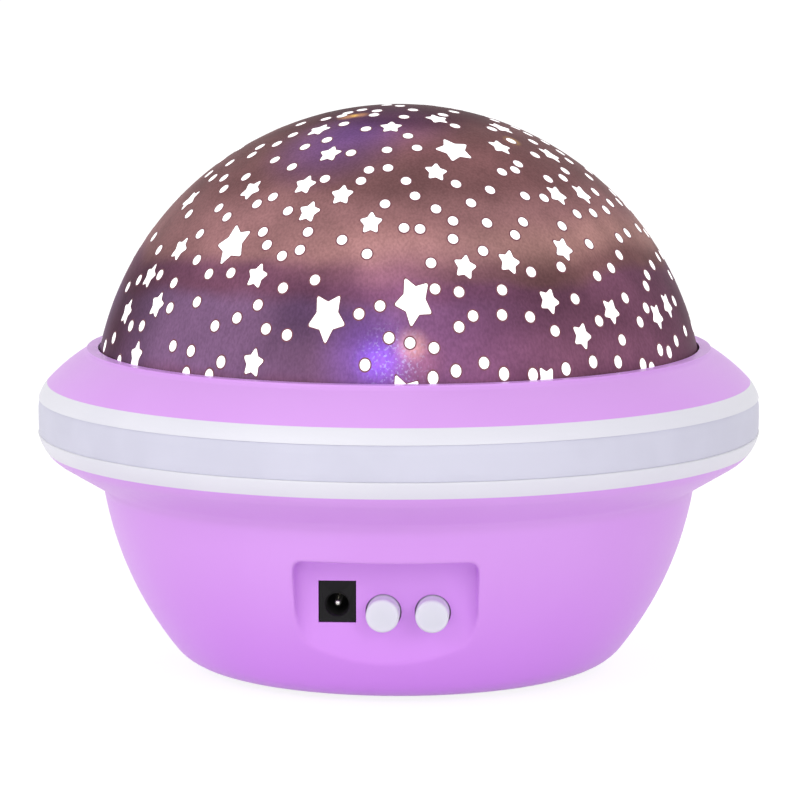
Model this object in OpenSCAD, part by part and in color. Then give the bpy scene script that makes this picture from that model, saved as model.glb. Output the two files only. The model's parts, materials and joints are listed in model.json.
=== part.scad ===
// Star night light projector: a bowl base with a ring-shaped shelf, and a star dome that a small
// geared motor turns slowly over a cluster of lamps.
// Millimetres, +Z up. The origin is on the table, under the centre of the base, and the control
// recess faces -Y.

/* [Dome] */
// Outer radius of the star dome
dome_r = 61.2; // [58:0.1:64]
// Wall thickness of the star dome
dome_wall = 1.8; // [1.4:0.1:2.4]
// Depth of the dome's centre below the seam between rim and upper shell
dome_sink = 6.15; // [5.5:0.05:7]
// Height of the dome's lower edge above its centre
dome_edge_rise = 1.2; // [0.6:0.1:2.4]
// Gap between the turning dome and the upper shell
dome_gap = 0.45; // [0.3:0.05:0.8]
// Width of each snap hook of the dome
hook_w = 10; // [6:0.5:14]
// Length that each hook reaches below the turntable plate
hook_drop = 2.2; // [1.8:0.1:2.6]
// Height of the turntable's ring that centres the dome
locating_rise = 2.4; // [1.6:0.1:3]

/* [Shelf] */
// How far the white rim reaches beyond the dome
shelf_w = 11.3; // [10:0.1:14]
// How far the white rim reaches beyond the top of the bowl
flange_w = 13.1; // [11:0.1:15]
// Slope of the flange under the rim, in degrees
flange_angle = 31; // [26:0.5:36]
// Radius of the lower rounding of the rim
rim_low_r = 8.5; // [7:0.1:10]
// Radius of the upper rounding of the rim
rim_up_r = 7.5; // [6.5:0.1:9]
// Height of the straight stretch between the two roundings
rim_flat_h = 3.05; // [2:0.05:5]
// Angle of the upper rounding at the seam with the upper shell, in degrees
seam_up_angle = 43; // [38:0.5:48]
// Depth of the lower seam under the end of the lower rounding
seam_low_drop = 5.05; // [4:0.05:6]
// Radius of the upper shell's crown
crown_r = 34; // [28:0.5:44]
// Width of the lip round the dome
lip_w = 1.3; // [0.8:0.1:2]
// Height of the lip above the crown
lip_h = 0.5; // [0.2:0.1:1]
// Height of the frosted band
band_h = 6.8; // [5:0.1:8]
// How far the frosted band lies below the rim's surface
band_sink = 0.25; // [0.1:0.05:0.5]
// Thickness of the frosted band
band_t = 0.95; // [0.7:0.05:1.1]

/* [Bowl] */
// Height of the bowl from its underside to the crease below the flange
bowl_h = 36.05; // [34:0.05:42]
// Radius of the bowl's side in profile
bowl_arc_r = 69.3; // [62:0.1:90]
// Lean of the bowl's side at its top, in degrees
bowl_lean = 8.7; // [6:0.1:11]
// Radius of the corner between the bowl's side and its underside
corner_r = 9.6; // [6:0.1:12]
// Wall thickness of the moulded shells
shell_wall = 2.0; // [1.6:0.1:2.4]
// Width of the tongue at each seam
tongue_w = 1.0; // [0.6:0.1:1.2]
// Height of the tongue at each seam
tongue_h = 1.0; // [0.6:0.1:1.6]

/* [Control recess] */
// Distance of the control panel in front of the centre
panel_y = 48.6; // [47:0.1:50]
// Width of the control panel
panel_w = 33.8; // [32:0.1:36]
// Height of the top of the recess above the table
recess_top = 30; // [28:0.1:32]
// Draft of the recess's sides, in degrees
recess_draft = 5; // [3:1:8]
// Radius of the recess's upper corners
recess_r = 1.8; // [1:0.1:3]
// Radius between the control panel and the recess's sides
panel_fillet = 3.0; // [2:0.1:4]

/* [Buttons] */
// Radius of a button cap
button_r = 3.2; // [2.6:0.1:3.6]
// Gap round a button cap in its hole
button_gap = 0.25; // [0.15:0.05:0.4]
// How far a button cap stands out of the panel
button_proud = 4.6; // [3:0.1:5]
// Travel of a button
button_travel = 1.0; // [0.5:0.1:1.2]
// Width of the collar that keeps a button in
button_collar = 0.8; // [0.6:0.1:1]
// Height of the buttons' centres above the table
button_z = 19.2; // [18.8:0.1:20.2]
// Place of the light button across the panel
light_button_x = -0.7; // [-1:0.1:-0.2]
// Place of the motor button across the panel
motor_button_x = 8.7; // [8.2:0.1:10]

/* [Power socket] */
// Place of the socket across the panel
jack_x = -9.5; // [-10.5:0.1:-8.8]
// Width of the socket
jack_w = 6.9; // [6.5:0.1:7.4]
// Height of the socket
jack_h = 7.8; // [7.4:0.1:8.6]
// Depth of the socket
jack_depth = 11; // [10.5:0.1:14]
// How far the socket's face lies behind the panel
jack_sink = 0.3; // [0.1:0.1:0.6]
// Height of the socket's bore above the socket's underside
jack_bore_rise = 3.35; // [3:0.05:3.8]
// Radius of the socket's bore
jack_bore_r = 2.1; // [1.9:0.05:2.3]
// Depth of the socket's bore
jack_bore_depth = 8.5; // [7.5:0.1:9.5]
// Radius of the socket's centre pin
jack_pin_r = 0.65; // [0.5:0.05:0.8]

/* [Battery bay] */
// Diameter of one battery cell
cell_d = 10.5; // [10:0.1:11]
// Length of one battery cell
cell_l = 44.5; // [43:0.5:46]
// Number of battery cells, side by side
cell_count = 3; // [2:1:3]
// Room for the contacts along a cell
contact_room = 5.5; // [4:0.1:6]
// Spacing between the centres of neighbouring cells
cell_pitch = 11.0; // [11:0.1:11.4]
// Wall thickness of the battery box
box_wall = 1.2; // [1:0.1:1.4]
// Depth of the ledge that the battery door seats on
door_ledge = 1.0; // [0.8:0.1:1.2]
// Width of the ledge that the battery door seats on
door_lap = 1.6; // [1.2:0.1:2]
// Gap round the battery door
door_gap = 0.2; // [0.1:0.05:0.3]
// Radius of the battery door's screw tab
tab_r = 4.2; // [3.8:0.1:4.6]

/* [Feet and wells] */
// Radius of a rubber foot
foot_r = 4.2; // [3.9:0.1:4.4]
// Thickness of a rubber foot
foot_t = 1.6; // [1.2:0.1:2]
// How far a rubber foot stands out of the underside
foot_proud = 0.8; // [0.5:0.1:1]
// Place of the feet to the left and right of the centre
foot_x = 17; // [15:0.1:18]
// Place of the feet in front of and behind the centre
foot_y = 24.2; // [23.8:0.1:26]
// Radius of a screw well
well_r = 3.2; // [3:0.1:3.4]
// Wall of a screw well
well_wall = 1.2; // [1:0.1:1.4]

/* [Drive] */
// Module of the turntable's teeth
ring_module = 1.0; // [1:0.01:1.02]
// Number of teeth inside the turntable
ring_teeth = 84; // [78:6:84]
// Number of teeth on the drive pinion
drive_teeth = 14; // [12:1:16]
// Module of the teeth in the gearbox
train_module = 0.5; // [0.48:0.01:0.51]
// Number of teeth on each wheel in the gearbox
wheel_teeth = 40; // [36:1:40]
// Number of teeth on each pinion in the gearbox
pinion_teeth = 10; // [10:1:12]
// Face width of the gears in the gearbox
gear_face = 2.2; // [1.8:0.1:2.4]
// Face width of the turntable's teeth
ring_face = 4.4; // [3.6:0.1:4.8]
// Play between the flanks of a gear pair
backlash = 0.12; // [0.08:0.01:0.16]
// Radius of the steel gear pins
gear_pin_r = 1.0; // [0.8:0.05:1.1]
// Running gap of a gear on its pin and of the turntable on its hub
running_gap = 0.05; // [0.03:0.01:0.08]
// End gap between pieces that turn past each other
end_gap = 0.4; // [0.3:0.05:0.5]
// Radius of the hub that the turntable turns on
hub_r = 9; // [8.5:0.1:10]
// Thickness of the turntable plate
turntable_t = 1.8; // [1.4:0.1:2.2]
// Wall of the gearbox
gearbox_wall = 1.4; // [1.2:0.1:1.6]
// Diameter of the motor
motor_d = 12; // [11:0.5:12]
// Length of the motor
motor_l = 13.6; // [12:0.1:14]

/* [Lamps] */
// Radius of one lamp
lamp_r = 2.5; // [2:0.1:2.9]
// Height of one lamp, with its round end
lamp_h = 6.2; // [5:0.1:8]
// Distance of the lamps from the centre
lamp_pcd_r = 7; // [5.5:0.1:8]
// Radius of the lamp board
lamp_board_r = 14; // [12.5:0.5:16]
// Height of the post between the hub and the lamp board
lamp_post_h = 3.5; // [2.6:0.1:6]

/* [Hidden] */
$fn = 96;
ARC_STEPS = 10;
TINY = 0.01;
OVER = 1;
// press and laid-on pieces stand this far apart
fit_gap = 0.05;
// a locating fit between two mouldings
loose_gap = 0.1;
board_t = 1.6;
screw_gap = 0.05;

// colours
LILAC = [0.84, 0.62, 0.94];
WHITE = [0.94, 0.93, 0.97];
FROST = [0.84, 0.84, 0.9];
SMOKE = [0.3, 0.2, 0.34, 0.7];
NATURAL = [0.93, 0.92, 0.88];
STEEL = [0.72, 0.73, 0.75];
BOARD = [0.1, 0.4, 0.22];
BLACK = [0.1, 0.1, 0.11];

// ---- profile of the base ----
rim_r = dome_r + shelf_w;
crease_r = rim_r - flange_w;
base_z = foot_proud;
crease_z = base_z + bowl_h;
side_c = [crease_r - bowl_arc_r * cos(bowl_lean), crease_z + bowl_arc_r * sin(bowl_lean)];
corner_z = base_z + corner_r;
flat_r = side_c[0] + sqrt(pow(bowl_arc_r - corner_r, 2) - pow(side_c[1] - corner_z, 2));
corner_c = [flat_r, corner_z];
tangent_a = atan2(corner_c[1] - side_c[1], corner_c[0] - side_c[0]);
low_start_r = rim_r - rim_low_r * (1 - sin(flange_angle));
low_c = [rim_r - rim_low_r,
    crease_z + (low_start_r - crease_r) * tan(flange_angle) + rim_low_r * cos(flange_angle)];
up_c = [rim_r - rim_up_r, low_c[1] + rim_flat_h];
seam_low_z = low_c[1] - seam_low_drop;
seam_up_z = up_c[1] + rim_up_r * sin(seam_up_angle);
seam_up_r = up_c[0] + rim_up_r * cos(seam_up_angle);
crown_c = [seam_up_r - crown_r * cos(seam_up_angle), seam_up_z - crown_r * sin(seam_up_angle)];
lip_r = dome_r + lip_w;
crown_end_a = acos((lip_r - crown_c[0]) / crown_r);
crown_end_z = crown_c[1] + crown_r * sin(crown_end_a);
dome_z = seam_up_z - dome_sink;

function arc(c, r, a0, a1, n = ARC_STEPS) =
    [for (i = [0 : n]) c + r * [cos(a0 + (a1 - a0) * i / n), sin(a0 + (a1 - a0) * i / n)]];
function reach(c, r, z) = c[0] + sqrt(pow(r, 2) - pow(z - c[1], 2));
// where a profile sunk by w meets the flange's cone, as an angle about the side's centre
function crease_t(w) = let (d = [cos(flange_angle), sin(flange_angle)],
    p = [crease_r, crease_z] + w * [-sin(flange_angle), cos(flange_angle)] - side_c,
    b = p * d, c = p * p - pow(bowl_arc_r - w, 2)) -b + sqrt(b * b - c);
function crease_pt(w) = [crease_r, crease_z] + w * [-sin(flange_angle), cos(flange_angle)]
    + crease_t(w) * [cos(flange_angle), sin(flange_angle)];
function crease_a(w) = let (p = crease_pt(w) - side_c) atan2(p[1], p[0]);
// the bowl's profile, sunk by w, from the axis to the height z of the lower seam
function bowl_pts(w, z) = concat([[0, base_z + w]],
    arc(corner_c, corner_r - w, -90, tangent_a),
    arc(side_c, bowl_arc_r - w, tangent_a, crease_a(w), 2 * ARC_STEPS),
    arc(low_c, rim_low_r - w, flange_angle - 90, asin((z - low_c[1]) / (rim_low_r - w))));

module turned(pts) {
    rotate_extrude() polygon(pts);
}

module tube(r_out, r_in, h) {
    difference() {
        cylinder(r = r_out, h = h);
        translate([0, 0, -OVER]) cylinder(r = r_in, h = h + 2 * OVER);
    }
}

module bowl_body(w, z, top) {
    pts = bowl_pts(w, z);
    turned(concat(pts, [[pts[len(pts) - 1][0], top], [0, top]]));
}

// ---- heights inside ----
floor_z = base_z + shell_wall;
turntable_top = dome_z + dome_edge_rise;
turntable_z = turntable_top - turntable_t;
ring_z = turntable_z - ring_face;
chassis_flange_t = 2;
chassis_flange_z = turntable_z - hook_drop - end_gap - chassis_flange_t;
chassis_t = 2;
train_h = 3 * gear_face + 4 * end_gap;
case_play = 0.7;
pan_depth = 5.2;
chassis_z = chassis_flange_z - pan_depth - chassis_t;
cover_z = chassis_z - gearbox_wall;
case_z = cover_z - train_h - gearbox_wall;
hub_shoulder_z = ring_z - end_gap;
turntable_hub_h = 3;
hub_top_z = turntable_top + turntable_hub_h;
turntable_hub_wall = 2.6;

// ---- gear train ----
PRESSURE = 25;
FLANK_STEPS = 3;
addendum = 0.9;
dedendum = 1.2;
drive_c = ring_module * (ring_teeth - drive_teeth) / 2;
train_c = train_module * (wheel_teeth + pinion_teeth) / 2;
idler_dir = 115;
motor_dir = -75;
axis_a = [drive_c, 0];
axis_b = axis_a + train_c * [cos(idler_dir), sin(idler_dir)];
axis_c = axis_a + train_c * [cos(motor_dir), sin(motor_dir)];
layer = gear_face + end_gap;
layer_z = [for (i = [0 : 2]) case_z + gearbox_wall + end_gap + i * layer];
wheel_r = train_module * (wheel_teeth / 2 + addendum);
bush_r = gear_pin_r + running_gap;
sleeve_r = 3;
shaft_r = 0.75;

function inv(a) = tan(a) * 180 / PI - a;
// half the angle of a tooth at radius r, for a pitch radius rp and a half angle at the pitch line
function tooth_half(r, rp, half_p) = let (rb = rp * cos(PRESSURE))
    half_p + inv(PRESSURE) - inv(acos(min(1, rb / max(r, rb))));
function polar(r, a) = [r * cos(a), r * sin(a)];
function gear_pts(n, m, add, ded, play) = let (rp = n * m / 2, rb = rp * cos(PRESSURE),
    ra = rp + add, rf = rp - ded, rs = max(rb, rf),
    half_p = 90 / n - play / 2 / rp * 180 / PI,
    rr = [for (k = [0 : FLANK_STEPS]) rs + (ra - rs) * k / FLANK_STEPS])
    [for (i = [0 : n - 1]) each concat(
        rf < rb ? [polar(rf, i * 360 / n - tooth_half(rs, rp, half_p))] : [],
        [for (k = [0 : FLANK_STEPS]) polar(rr[k], i * 360 / n - tooth_half(rr[k], rp, half_p))],
        [for (k = [FLANK_STEPS : -1 : 0]) polar(rr[k], i * 360 / n + tooth_half(rr[k], rp, half_p))],
        rf < rb ? [polar(rf, i * 360 / n + tooth_half(rs, rp, half_p))] : [])];
// the turn that sets gear b's gap on gear a's tooth, seen along direction dir from a to b
function mesh_turn(dir, n_a, turn_a, n_b) =
    dir + 180 + ((dir - turn_a) * n_a / 360 - 0.5) * 360 / n_b;

module spur(n, m, h, turn) {
    rotate(turn) linear_extrude(h)
        polygon(gear_pts(n, m, addendum * m, dedendum * m, backlash / 2));
}

module at(p, z = 0) {
    translate([p[0], p[1], z]) children();
}

// ---- screws ----
// a pan head screw whose seat is at z = 0 and whose shank points up
module screw(r, l, head_r, head_h) {
    slot_w = head_r * 0.28;
    difference() {
        union() {
            translate([0, 0, -head_h]) cylinder(r = head_r, h = head_h);
            cylinder(r = r, h = l);
        }
        for (a = [0, 90])
            rotate(a) translate([-head_r * 0.6, -slot_w / 2, -head_h - OVER])
                cube([head_r * 1.2, slot_w, OVER + head_h * 0.5]);
    }
}

case_screw = [1.4, 9, 2.7, 2];
shell_screw = [1.1, 8, 2.1, 1.4];
gearbox_screw = [1.0, 6.5, 1.9, 1.2];
board_screw = [0.9, 5, 1.8, 1];
lamp_screw = [0.8, 3.4, 1.5, 0.8];
tab_screw = [1.2, 6.5, 2.2, 1.2];
boss_wall = 1.4;

foot_spots = [for (sx = [-1, 1], sy = [-1, 1]) [sx * foot_x, sy * foot_y]];
well_seat = 2;
well_out = well_r + well_wall;
chassis_boss_l = 9.6;
well_top = chassis_z - chassis_boss_l;

// upper shell bosses stand just outside the turning pieces
flange_lap = 0.6;
shell_boss_r = shell_screw[0] + boss_wall - 0.1;
shell_boss_at = dome_r + flange_lap + end_gap + shell_boss_r;
shell_boss_dirs = [45, 135, 225, 315];

// ---- controls ----
panel_in = panel_y - shell_wall;
jack_face_y = -(panel_y - jack_sink);
jack_z = button_z + 1.4 - jack_bore_rise;
board_top = jack_z - fit_gap;
board_z = board_top - board_t;
board_w = 31;
board_l = 14.6;
collar_t = 0.95;
collar_y = -(panel_in - 0.25);
board_y0 = collar_y + collar_t + button_travel + 0.2;
board_post = [12.6, board_y0 + board_l - 3.2];
switch_w = 4.6;
switch_h = 4.4;
switch_d = 4;
stem_r = 1.2;
stem_out = 1.3;
stem_in = 0.8;
tail_r = 1.7;
switch_y = board_y0 + 2;
button_hole_r = button_r + button_gap;

// ---- battery bay ----
bay_l = cell_l + contact_room;
bay_w = cell_count * cell_pitch + 0.4;
cell_z = floor_z + 0.2 + cell_d / 2;
box_top = cell_z + cell_d / 2 + 0.5 + box_wall;
door_l = bay_l + 2 * door_lap;
door_w = bay_w + 2 * door_lap;
tab_x = bay_l / 2 + box_wall + tab_screw[0] + boss_wall + 0.9;
tab_boss_r = tab_screw[0] + boss_wall;
cell_ys = [for (i = [0 : cell_count - 1]) (i - (cell_count - 1) / 2) * cell_pitch];

module recess_block(y, half_w, top) {
    far = rim_r;
    round_x = half_w - panel_fillet;
    round_y = -y - panel_fillet;
    far_x = half_w + (far + round_y) * tan(recess_draft);
    linear_extrude(top)
        polygon(concat([[-far_x, -far]], arc([-round_x, round_y], panel_fillet, 180, 90, 6),
            arc([round_x, round_y], panel_fillet, 90, 0, 6), [[far_x, -far]]));
}

// the recess, with its two upper corners rounded
module recess_cut() {
    mouth_r = crease_r - (crease_z - recess_top) * tan(bowl_lean);
    mouth_y = sqrt(pow(mouth_r, 2) - pow(panel_w / 2, 2));
    half = panel_w / 2 + (mouth_y - panel_y - panel_fillet) * tan(recess_draft);
    intersection() {
        recess_block(panel_y, panel_w / 2, recess_top);
        union() {
            translate([-half, -rim_r, -OVER]) cube([2 * half, rim_r, OVER + recess_top - recess_r]);
            translate([-half + recess_r, -rim_r, 0])
                cube([2 * (half - recess_r), rim_r, recess_top]);
            for (s = [-1, 1])
                translate([s * (half - recess_r), 0, recess_top - recess_r])
                    rotate([90, 0, 0]) cylinder(r = recess_r, h = rim_r);
        }
    }
}

module door_outline(grow, h) {
    translate([-door_l / 2 - grow, -door_w / 2 - grow, 0])
        cube([door_l + 2 * grow, door_w + 2 * grow, h]);
    translate([tab_x, 0, 0]) cylinder(r = tab_r + grow, h = h);
    translate([0, -tab_r - grow, 0]) cube([tab_x, 2 * (tab_r + grow), h]);
}

// ---- casings ----
module lower_bowl() {
    color(LILAC) difference() {
        union() {
            difference() {
                bowl_body(0, seam_low_z, seam_low_z);
                bowl_body(shell_wall, seam_low_z, seam_low_z + OVER);
            }
            // walls of the control recess
            intersection() {
                bowl_body(shell_wall / 2, seam_low_z, seam_low_z);
                recess_block(panel_in, panel_w / 2 + shell_wall, recess_top + shell_wall);
            }
            // screw wells
            for (p = foot_spots)
                at(p, floor_z - TINY) cylinder(r = well_out, h = well_top - floor_z);
            // boss of the battery door's screw
            translate([tab_x, 0, floor_z - TINY]) cylinder(r = tab_boss_r, h = tab_screw[1] + 1);
            // posts of the main board
            for (s = [-1, 1])
                translate([s * board_post[0], board_post[1], floor_z - TINY])
                    cylinder(r = board_screw[0] + boss_wall, h = board_z - floor_z);
        }
        recess_cut();
        // battery opening and the door's ledge
        translate([-bay_l / 2, -bay_w / 2, base_z - OVER]) cube([bay_l, bay_w, shell_wall + 2 * OVER]);
        translate([0, 0, base_z - OVER]) door_outline(door_gap, OVER + door_ledge);
        translate([tab_x, 0, base_z]) cylinder(r = tab_screw[0] + screw_gap, h = tab_screw[1] + OVER);
        // wells and foot pockets
        for (p = foot_spots) {
            at(p, base_z - OVER) cylinder(r = foot_r + fit_gap, h = OVER + foot_t - foot_proud);
            at(p, base_z) cylinder(r = well_r, h = well_top - well_seat - base_z);
            at(p, well_top - well_seat - OVER) cylinder(r = case_screw[0] + 0.2, h = well_seat + 2 * OVER);
        }
        for (s = [-1, 1])
            translate([s * board_post[0], board_post[1], board_z - board_screw[1]])
                cylinder(r = board_screw[0] + screw_gap, h = board_screw[1] + OVER);
        // lap for the white rim's tongue
        translate([0, 0, seam_low_z - tongue_h - loose_gap])
            cylinder(r = low_tongue_r + loose_gap, h = tongue_h + OVER);
        // socket and buttons
        translate([jack_x - jack_w / 2 - loose_gap, -panel_y - OVER, jack_z - loose_gap])
            cube([jack_w + 2 * loose_gap, shell_wall + 2 * OVER, jack_h + 2 * loose_gap]);
        for (x = [light_button_x, motor_button_x])
            translate([x, -panel_in + OVER, button_z]) rotate([90, 0, 0])
                cylinder(r = button_hole_r, h = shell_wall + 2 * OVER);
    }
}

// each seam is lapped on its inner side
low_tongue_r = reach(low_c, rim_low_r, seam_low_z - tongue_h) - 0.9;
up_inner_r = reach(up_c, rim_up_r - shell_wall, seam_up_z);
up_tongue_r = up_inner_r - loose_gap;
band_mid_z = (low_c[1] + up_c[1]) / 2 + 0.2;
band_low_z = band_mid_z - band_h / 2;

// a section of the rim between the seams, sunk by w
function rim_pts(w) = concat(
    arc(low_c, rim_low_r - w, asin((seam_low_z - low_c[1]) / (rim_low_r - w)), 0),
    arc(up_c, rim_up_r - w, 0, asin((seam_up_z - up_c[1]) / (rim_up_r - w))));

module white_rim() {
    inner = rim_pts(shell_wall);
    color(WHITE) difference() {
        union() {
            turned(concat(rim_pts(0), [for (i = [len(inner) - 1 : -1 : 0]) inner[i]]));
            translate([0, 0, seam_low_z - tongue_h])
                tube(low_tongue_r, low_tongue_r - tongue_w, tongue_h + shell_wall / 2);
        }
        // groove of the frosted band
        translate([0, 0, band_low_z - fit_gap])
            tube(rim_r + OVER, rim_r - band_sink - band_t - fit_gap, band_h + 2 * fit_gap);
    }
}

module frosted_band() {
    r_in = rim_r - band_sink - band_t;
    low_r = rim_low_r - band_sink;
    up_r = rim_up_r - band_sink;
    color(FROST) turned(concat([[r_in, band_low_z]],
        arc(low_c, low_r, asin((band_low_z - low_c[1]) / low_r), 0, 4),
        arc(up_c, up_r, 0, asin((band_low_z + band_h - up_c[1]) / up_r), 4),
        [[r_in, band_low_z + band_h]]));
}

module upper_shell() {
    crown = arc(crown_c, crown_r, seam_up_angle, crown_end_a);
    under_a = asin((seam_up_z - crown_c[1]) / (crown_r - shell_wall));
    under = arc(crown_c, crown_r - shell_wall, crown_end_a, under_a);
    opening_r = dome_r - 3;
    color(LILAC) difference() {
        union() {
            turned(concat(crown, [[lip_r, crown_end_z + lip_h], [opening_r, crown_end_z + lip_h],
                [opening_r, under[0][1]]], under));
            translate([0, 0, seam_up_z - tongue_h])
                tube(up_tongue_r, up_tongue_r - tongue_w, tongue_h + shell_wall);
            // screw bosses, kept inside the rim
            intersection() {
                for (a = shell_boss_dirs)
                    rotate(a) translate([shell_boss_at, 0, shell_boss_z])
                        cylinder(r = shell_boss_r, h = crown_end_z - shell_boss_z);
                turned(concat([[0, shell_boss_z - OVER], [up_inner_r - loose_gap, shell_boss_z - OVER],
                    [up_inner_r - loose_gap, seam_up_z]],
                    arc(crown_c, crown_r - shell_wall / 2, seam_up_angle, crown_end_a),
                    [[0, crown_end_z]]));
            }
        }
        translate([0, 0, dome_z]) sphere(r = dome_r + dome_gap);
        for (a = shell_boss_dirs)
            rotate(a) translate([shell_boss_at, 0, shell_boss_z - OVER])
                cylinder(r = shell_screw[0] + screw_gap, h = shell_screw[1] + OVER);
    }
}
shell_boss_z = chassis_flange_z + chassis_flange_t;

module star_dome() {
    leg_in = dome_r - dome_wall;
    barb_in = leg_in - 1.4;
    color(SMOKE) {
        difference() {
            translate([0, 0, dome_z]) sphere(r = dome_r);
            translate([0, 0, dome_z]) sphere(r = dome_r - dome_wall);
            translate([0, 0, turntable_top - 2 * dome_r]) cylinder(r = 2 * dome_r, h = 2 * dome_r);
        }
        // three snap hooks, which pass the plate and grip it from below
        for (a = hook_dirs)
            rotate(a) intersection() {
                union() {
                    translate([0, 0, turntable_z - hook_drop])
                        tube(dome_r - 0.1, leg_in + 0.1, turntable_t + hook_drop + 0.6);
                    translate([0, 0, turntable_z - hook_drop])
                        tube(leg_in + 0.2, barb_in, hook_drop - fit_gap);
                }
                translate([0, -hook_w / 2, 0]) cube([2 * dome_r, hook_w, 2 * dome_r]);
            }
    }
}
hook_dirs = [30, 150, 270];

module dome_turntable() {
    plate_r = dome_r + flange_lap;
    ring_out = ring_module * ring_teeth / 2 + dedendum * ring_module + 3;
    locating_r = sqrt(pow(dome_r - dome_wall, 2) - pow(dome_edge_rise + locating_rise, 2)) - loose_gap;
    hub_bore = hub_r + running_gap;
    color(NATURAL) difference() {
        union() {
            translate([0, 0, turntable_z]) cylinder(r = plate_r, h = turntable_t);
            translate([0, 0, hub_shoulder_z + running_gap])
                cylinder(r = hub_bore + turntable_hub_wall,
                    h = hub_top_z - hub_shoulder_z - running_gap);
            translate([0, 0, turntable_top - TINY])
                tube(locating_r, locating_r - 1.6, locating_rise + TINY);
            difference() {
                translate([0, 0, ring_z]) cylinder(r = ring_out, h = ring_face + TINY);
                translate([0, 0, ring_z - OVER]) linear_extrude(ring_face + OVER)
                    polygon(gear_pts(ring_teeth, ring_module, dedendum * ring_module,
                        addendum * ring_module, -backlash / 2));
            }
        }
        translate([0, 0, ring_z - OVER]) cylinder(r = hub_bore, h = dome_r);
        for (a = hook_dirs)
            rotate(a) translate([dome_r - dome_wall - loose_gap, -hook_w / 2 - 0.3, turntable_z - OVER])
                cube([dome_r, hook_w + 0.6, turntable_t + 2 * OVER]);
    }
}

// ---- chassis and drive ----
pan_r = crease_r - shell_wall - 2.4;
lug_out = gearbox_wall + case_play + gearbox_screw[2] + 0.1;
lugs = [axis_a + polar(wheel_r + lug_out, 14), axis_b + polar(wheel_r + lug_out, 190),
    axis_c + polar(wheel_r / 2 + lug_out, -115)];
lug_r = gearbox_screw[2] + 0.5;
lug_t = 3;
lug_boss_h = 3.6;

module inner_chassis() {
    flange_out = reach(low_c, rim_low_r - shell_wall, chassis_flange_z) - 1;
    color(NATURAL) difference() {
        union() {
            translate([0, 0, chassis_z]) cylinder(r = pan_r, h = chassis_t);
            translate([0, 0, chassis_z])
                tube(pan_r, pan_r - chassis_t, pan_depth + chassis_t + chassis_flange_t);
            translate([0, 0, chassis_flange_z])
                tube(flange_out, pan_r - chassis_t, chassis_flange_t);
            translate([0, 0, chassis_z])
                cylinder(r = hub_r + turntable_hub_wall, h = hub_shoulder_z - chassis_z);
            translate([0, 0, chassis_z]) cylinder(r = hub_r, h = hub_top_z + running_gap - chassis_z);
            // bosses over the wells of the bowl
            for (p = foot_spots)
                at(p, well_top) cylinder(r = case_screw[0] + boss_wall + 0.6, h = chassis_boss_l + TINY);
            // bosses that take the gearbox's screws
            for (p = lugs)
                at(p, chassis_z) cylinder(r = gearbox_screw[0] + boss_wall, h = chassis_t + lug_boss_h);
        }
        translate([0, 0, chassis_z - OVER]) cylinder(r = hub_bore_r, h = hub_top_z);
        at(axis_a, chassis_z - OVER) cylinder(r = sleeve_r + end_gap, h = chassis_t + 2 * OVER);
        for (p = foot_spots)
            at(p, well_top - OVER) cylinder(r = case_screw[0] + screw_gap, h = case_screw[1] + OVER);
        for (p = lugs)
            at(p, chassis_z - OVER)
                cylinder(r = gearbox_screw[0] + screw_gap, h = OVER + gearbox_screw[1] - lug_t + 0.5);
        for (a = shell_boss_dirs)
            rotate(a) translate([shell_boss_at, 0, chassis_flange_z - OVER])
                cylinder(r = shell_screw[0] + 0.2, h = chassis_flange_t + 2 * OVER);
    }
}
hub_bore_r = hub_r - 2.6;

module gearbox_outline(grow, z, h) {
    for (s = [[axis_a, wheel_r], [axis_b, wheel_r], [axis_c, wheel_r / 2]])
        at(s[0], z) cylinder(r = s[1] + case_play + grow, h = h);
    waist = wheel_r * 0.8 + grow;
    at(axis_a, z) rotate(idler_dir) translate([0, -waist, 0]) cube([train_c, 2 * waist, h]);
}

module gearbox_case() {
    color(WHITE) difference() {
        union() {
            gearbox_outline(gearbox_wall, case_z, cover_z - case_z);
            for (p = lugs) at(p, chassis_z - lug_t) cylinder(r = lug_r, h = lug_t);
        }
        gearbox_outline(0, case_z + gearbox_wall, train_h + OVER);
        for (p = [axis_a, axis_b])
            at(p, case_z - OVER) cylinder(r = gear_pin_r + TINY, h = gearbox_wall + 2 * OVER);
        at(axis_c, case_z - OVER) cylinder(r = shaft_r + 1.4, h = gearbox_wall + 2 * OVER);
        for (p = lugs)
            at(p, chassis_z - lug_t - OVER) cylinder(r = gearbox_screw[0] + 0.15, h = lug_t + 2 * OVER);
    }
}

module gearbox_cover() {
    color(WHITE) difference() {
        gearbox_outline(gearbox_wall, cover_z + fit_gap, gearbox_wall - 2 * fit_gap);
        at(axis_a, cover_z - OVER) cylinder(r = sleeve_r + end_gap, h = gearbox_wall + 2 * OVER);
        at(axis_b, cover_z - OVER) cylinder(r = gear_pin_r + TINY, h = gearbox_wall + 2 * OVER);
        for (p = lugs)
            at(p, cover_z - OVER) cylinder(r = lug_r + loose_gap, h = gearbox_wall + 2 * OVER);
    }
}

module gear_pins() {
    color(STEEL) {
        at(axis_a, case_z) cylinder(r = gear_pin_r, h = drive_top_z - case_z + end_gap / 4);
        at(axis_b, case_z) cylinder(r = gear_pin_r, h = cover_z - case_z + gearbox_wall - fit_gap);
    }
}
drive_top_z = turntable_z - end_gap;
drive_z = ring_z + 0.2;

output_turn = 0;
idler_turn = 0;
first_turn = 0;

module output_gear() {
    color(NATURAL) difference() {
        union() {
            at(axis_a, layer_z[2]) spur(wheel_teeth, train_module, gear_face, output_turn);
            at(axis_a, layer_z[2]) cylinder(r = sleeve_r, h = drive_z - layer_z[2]);
            at(axis_a, drive_z - TINY) cylinder(r = sleeve_r - 0.8, h = drive_top_z - drive_z + TINY);
        }
        at(axis_a, case_z) cylinder(r = bush_r, h = dome_r);
    }
}

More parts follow.
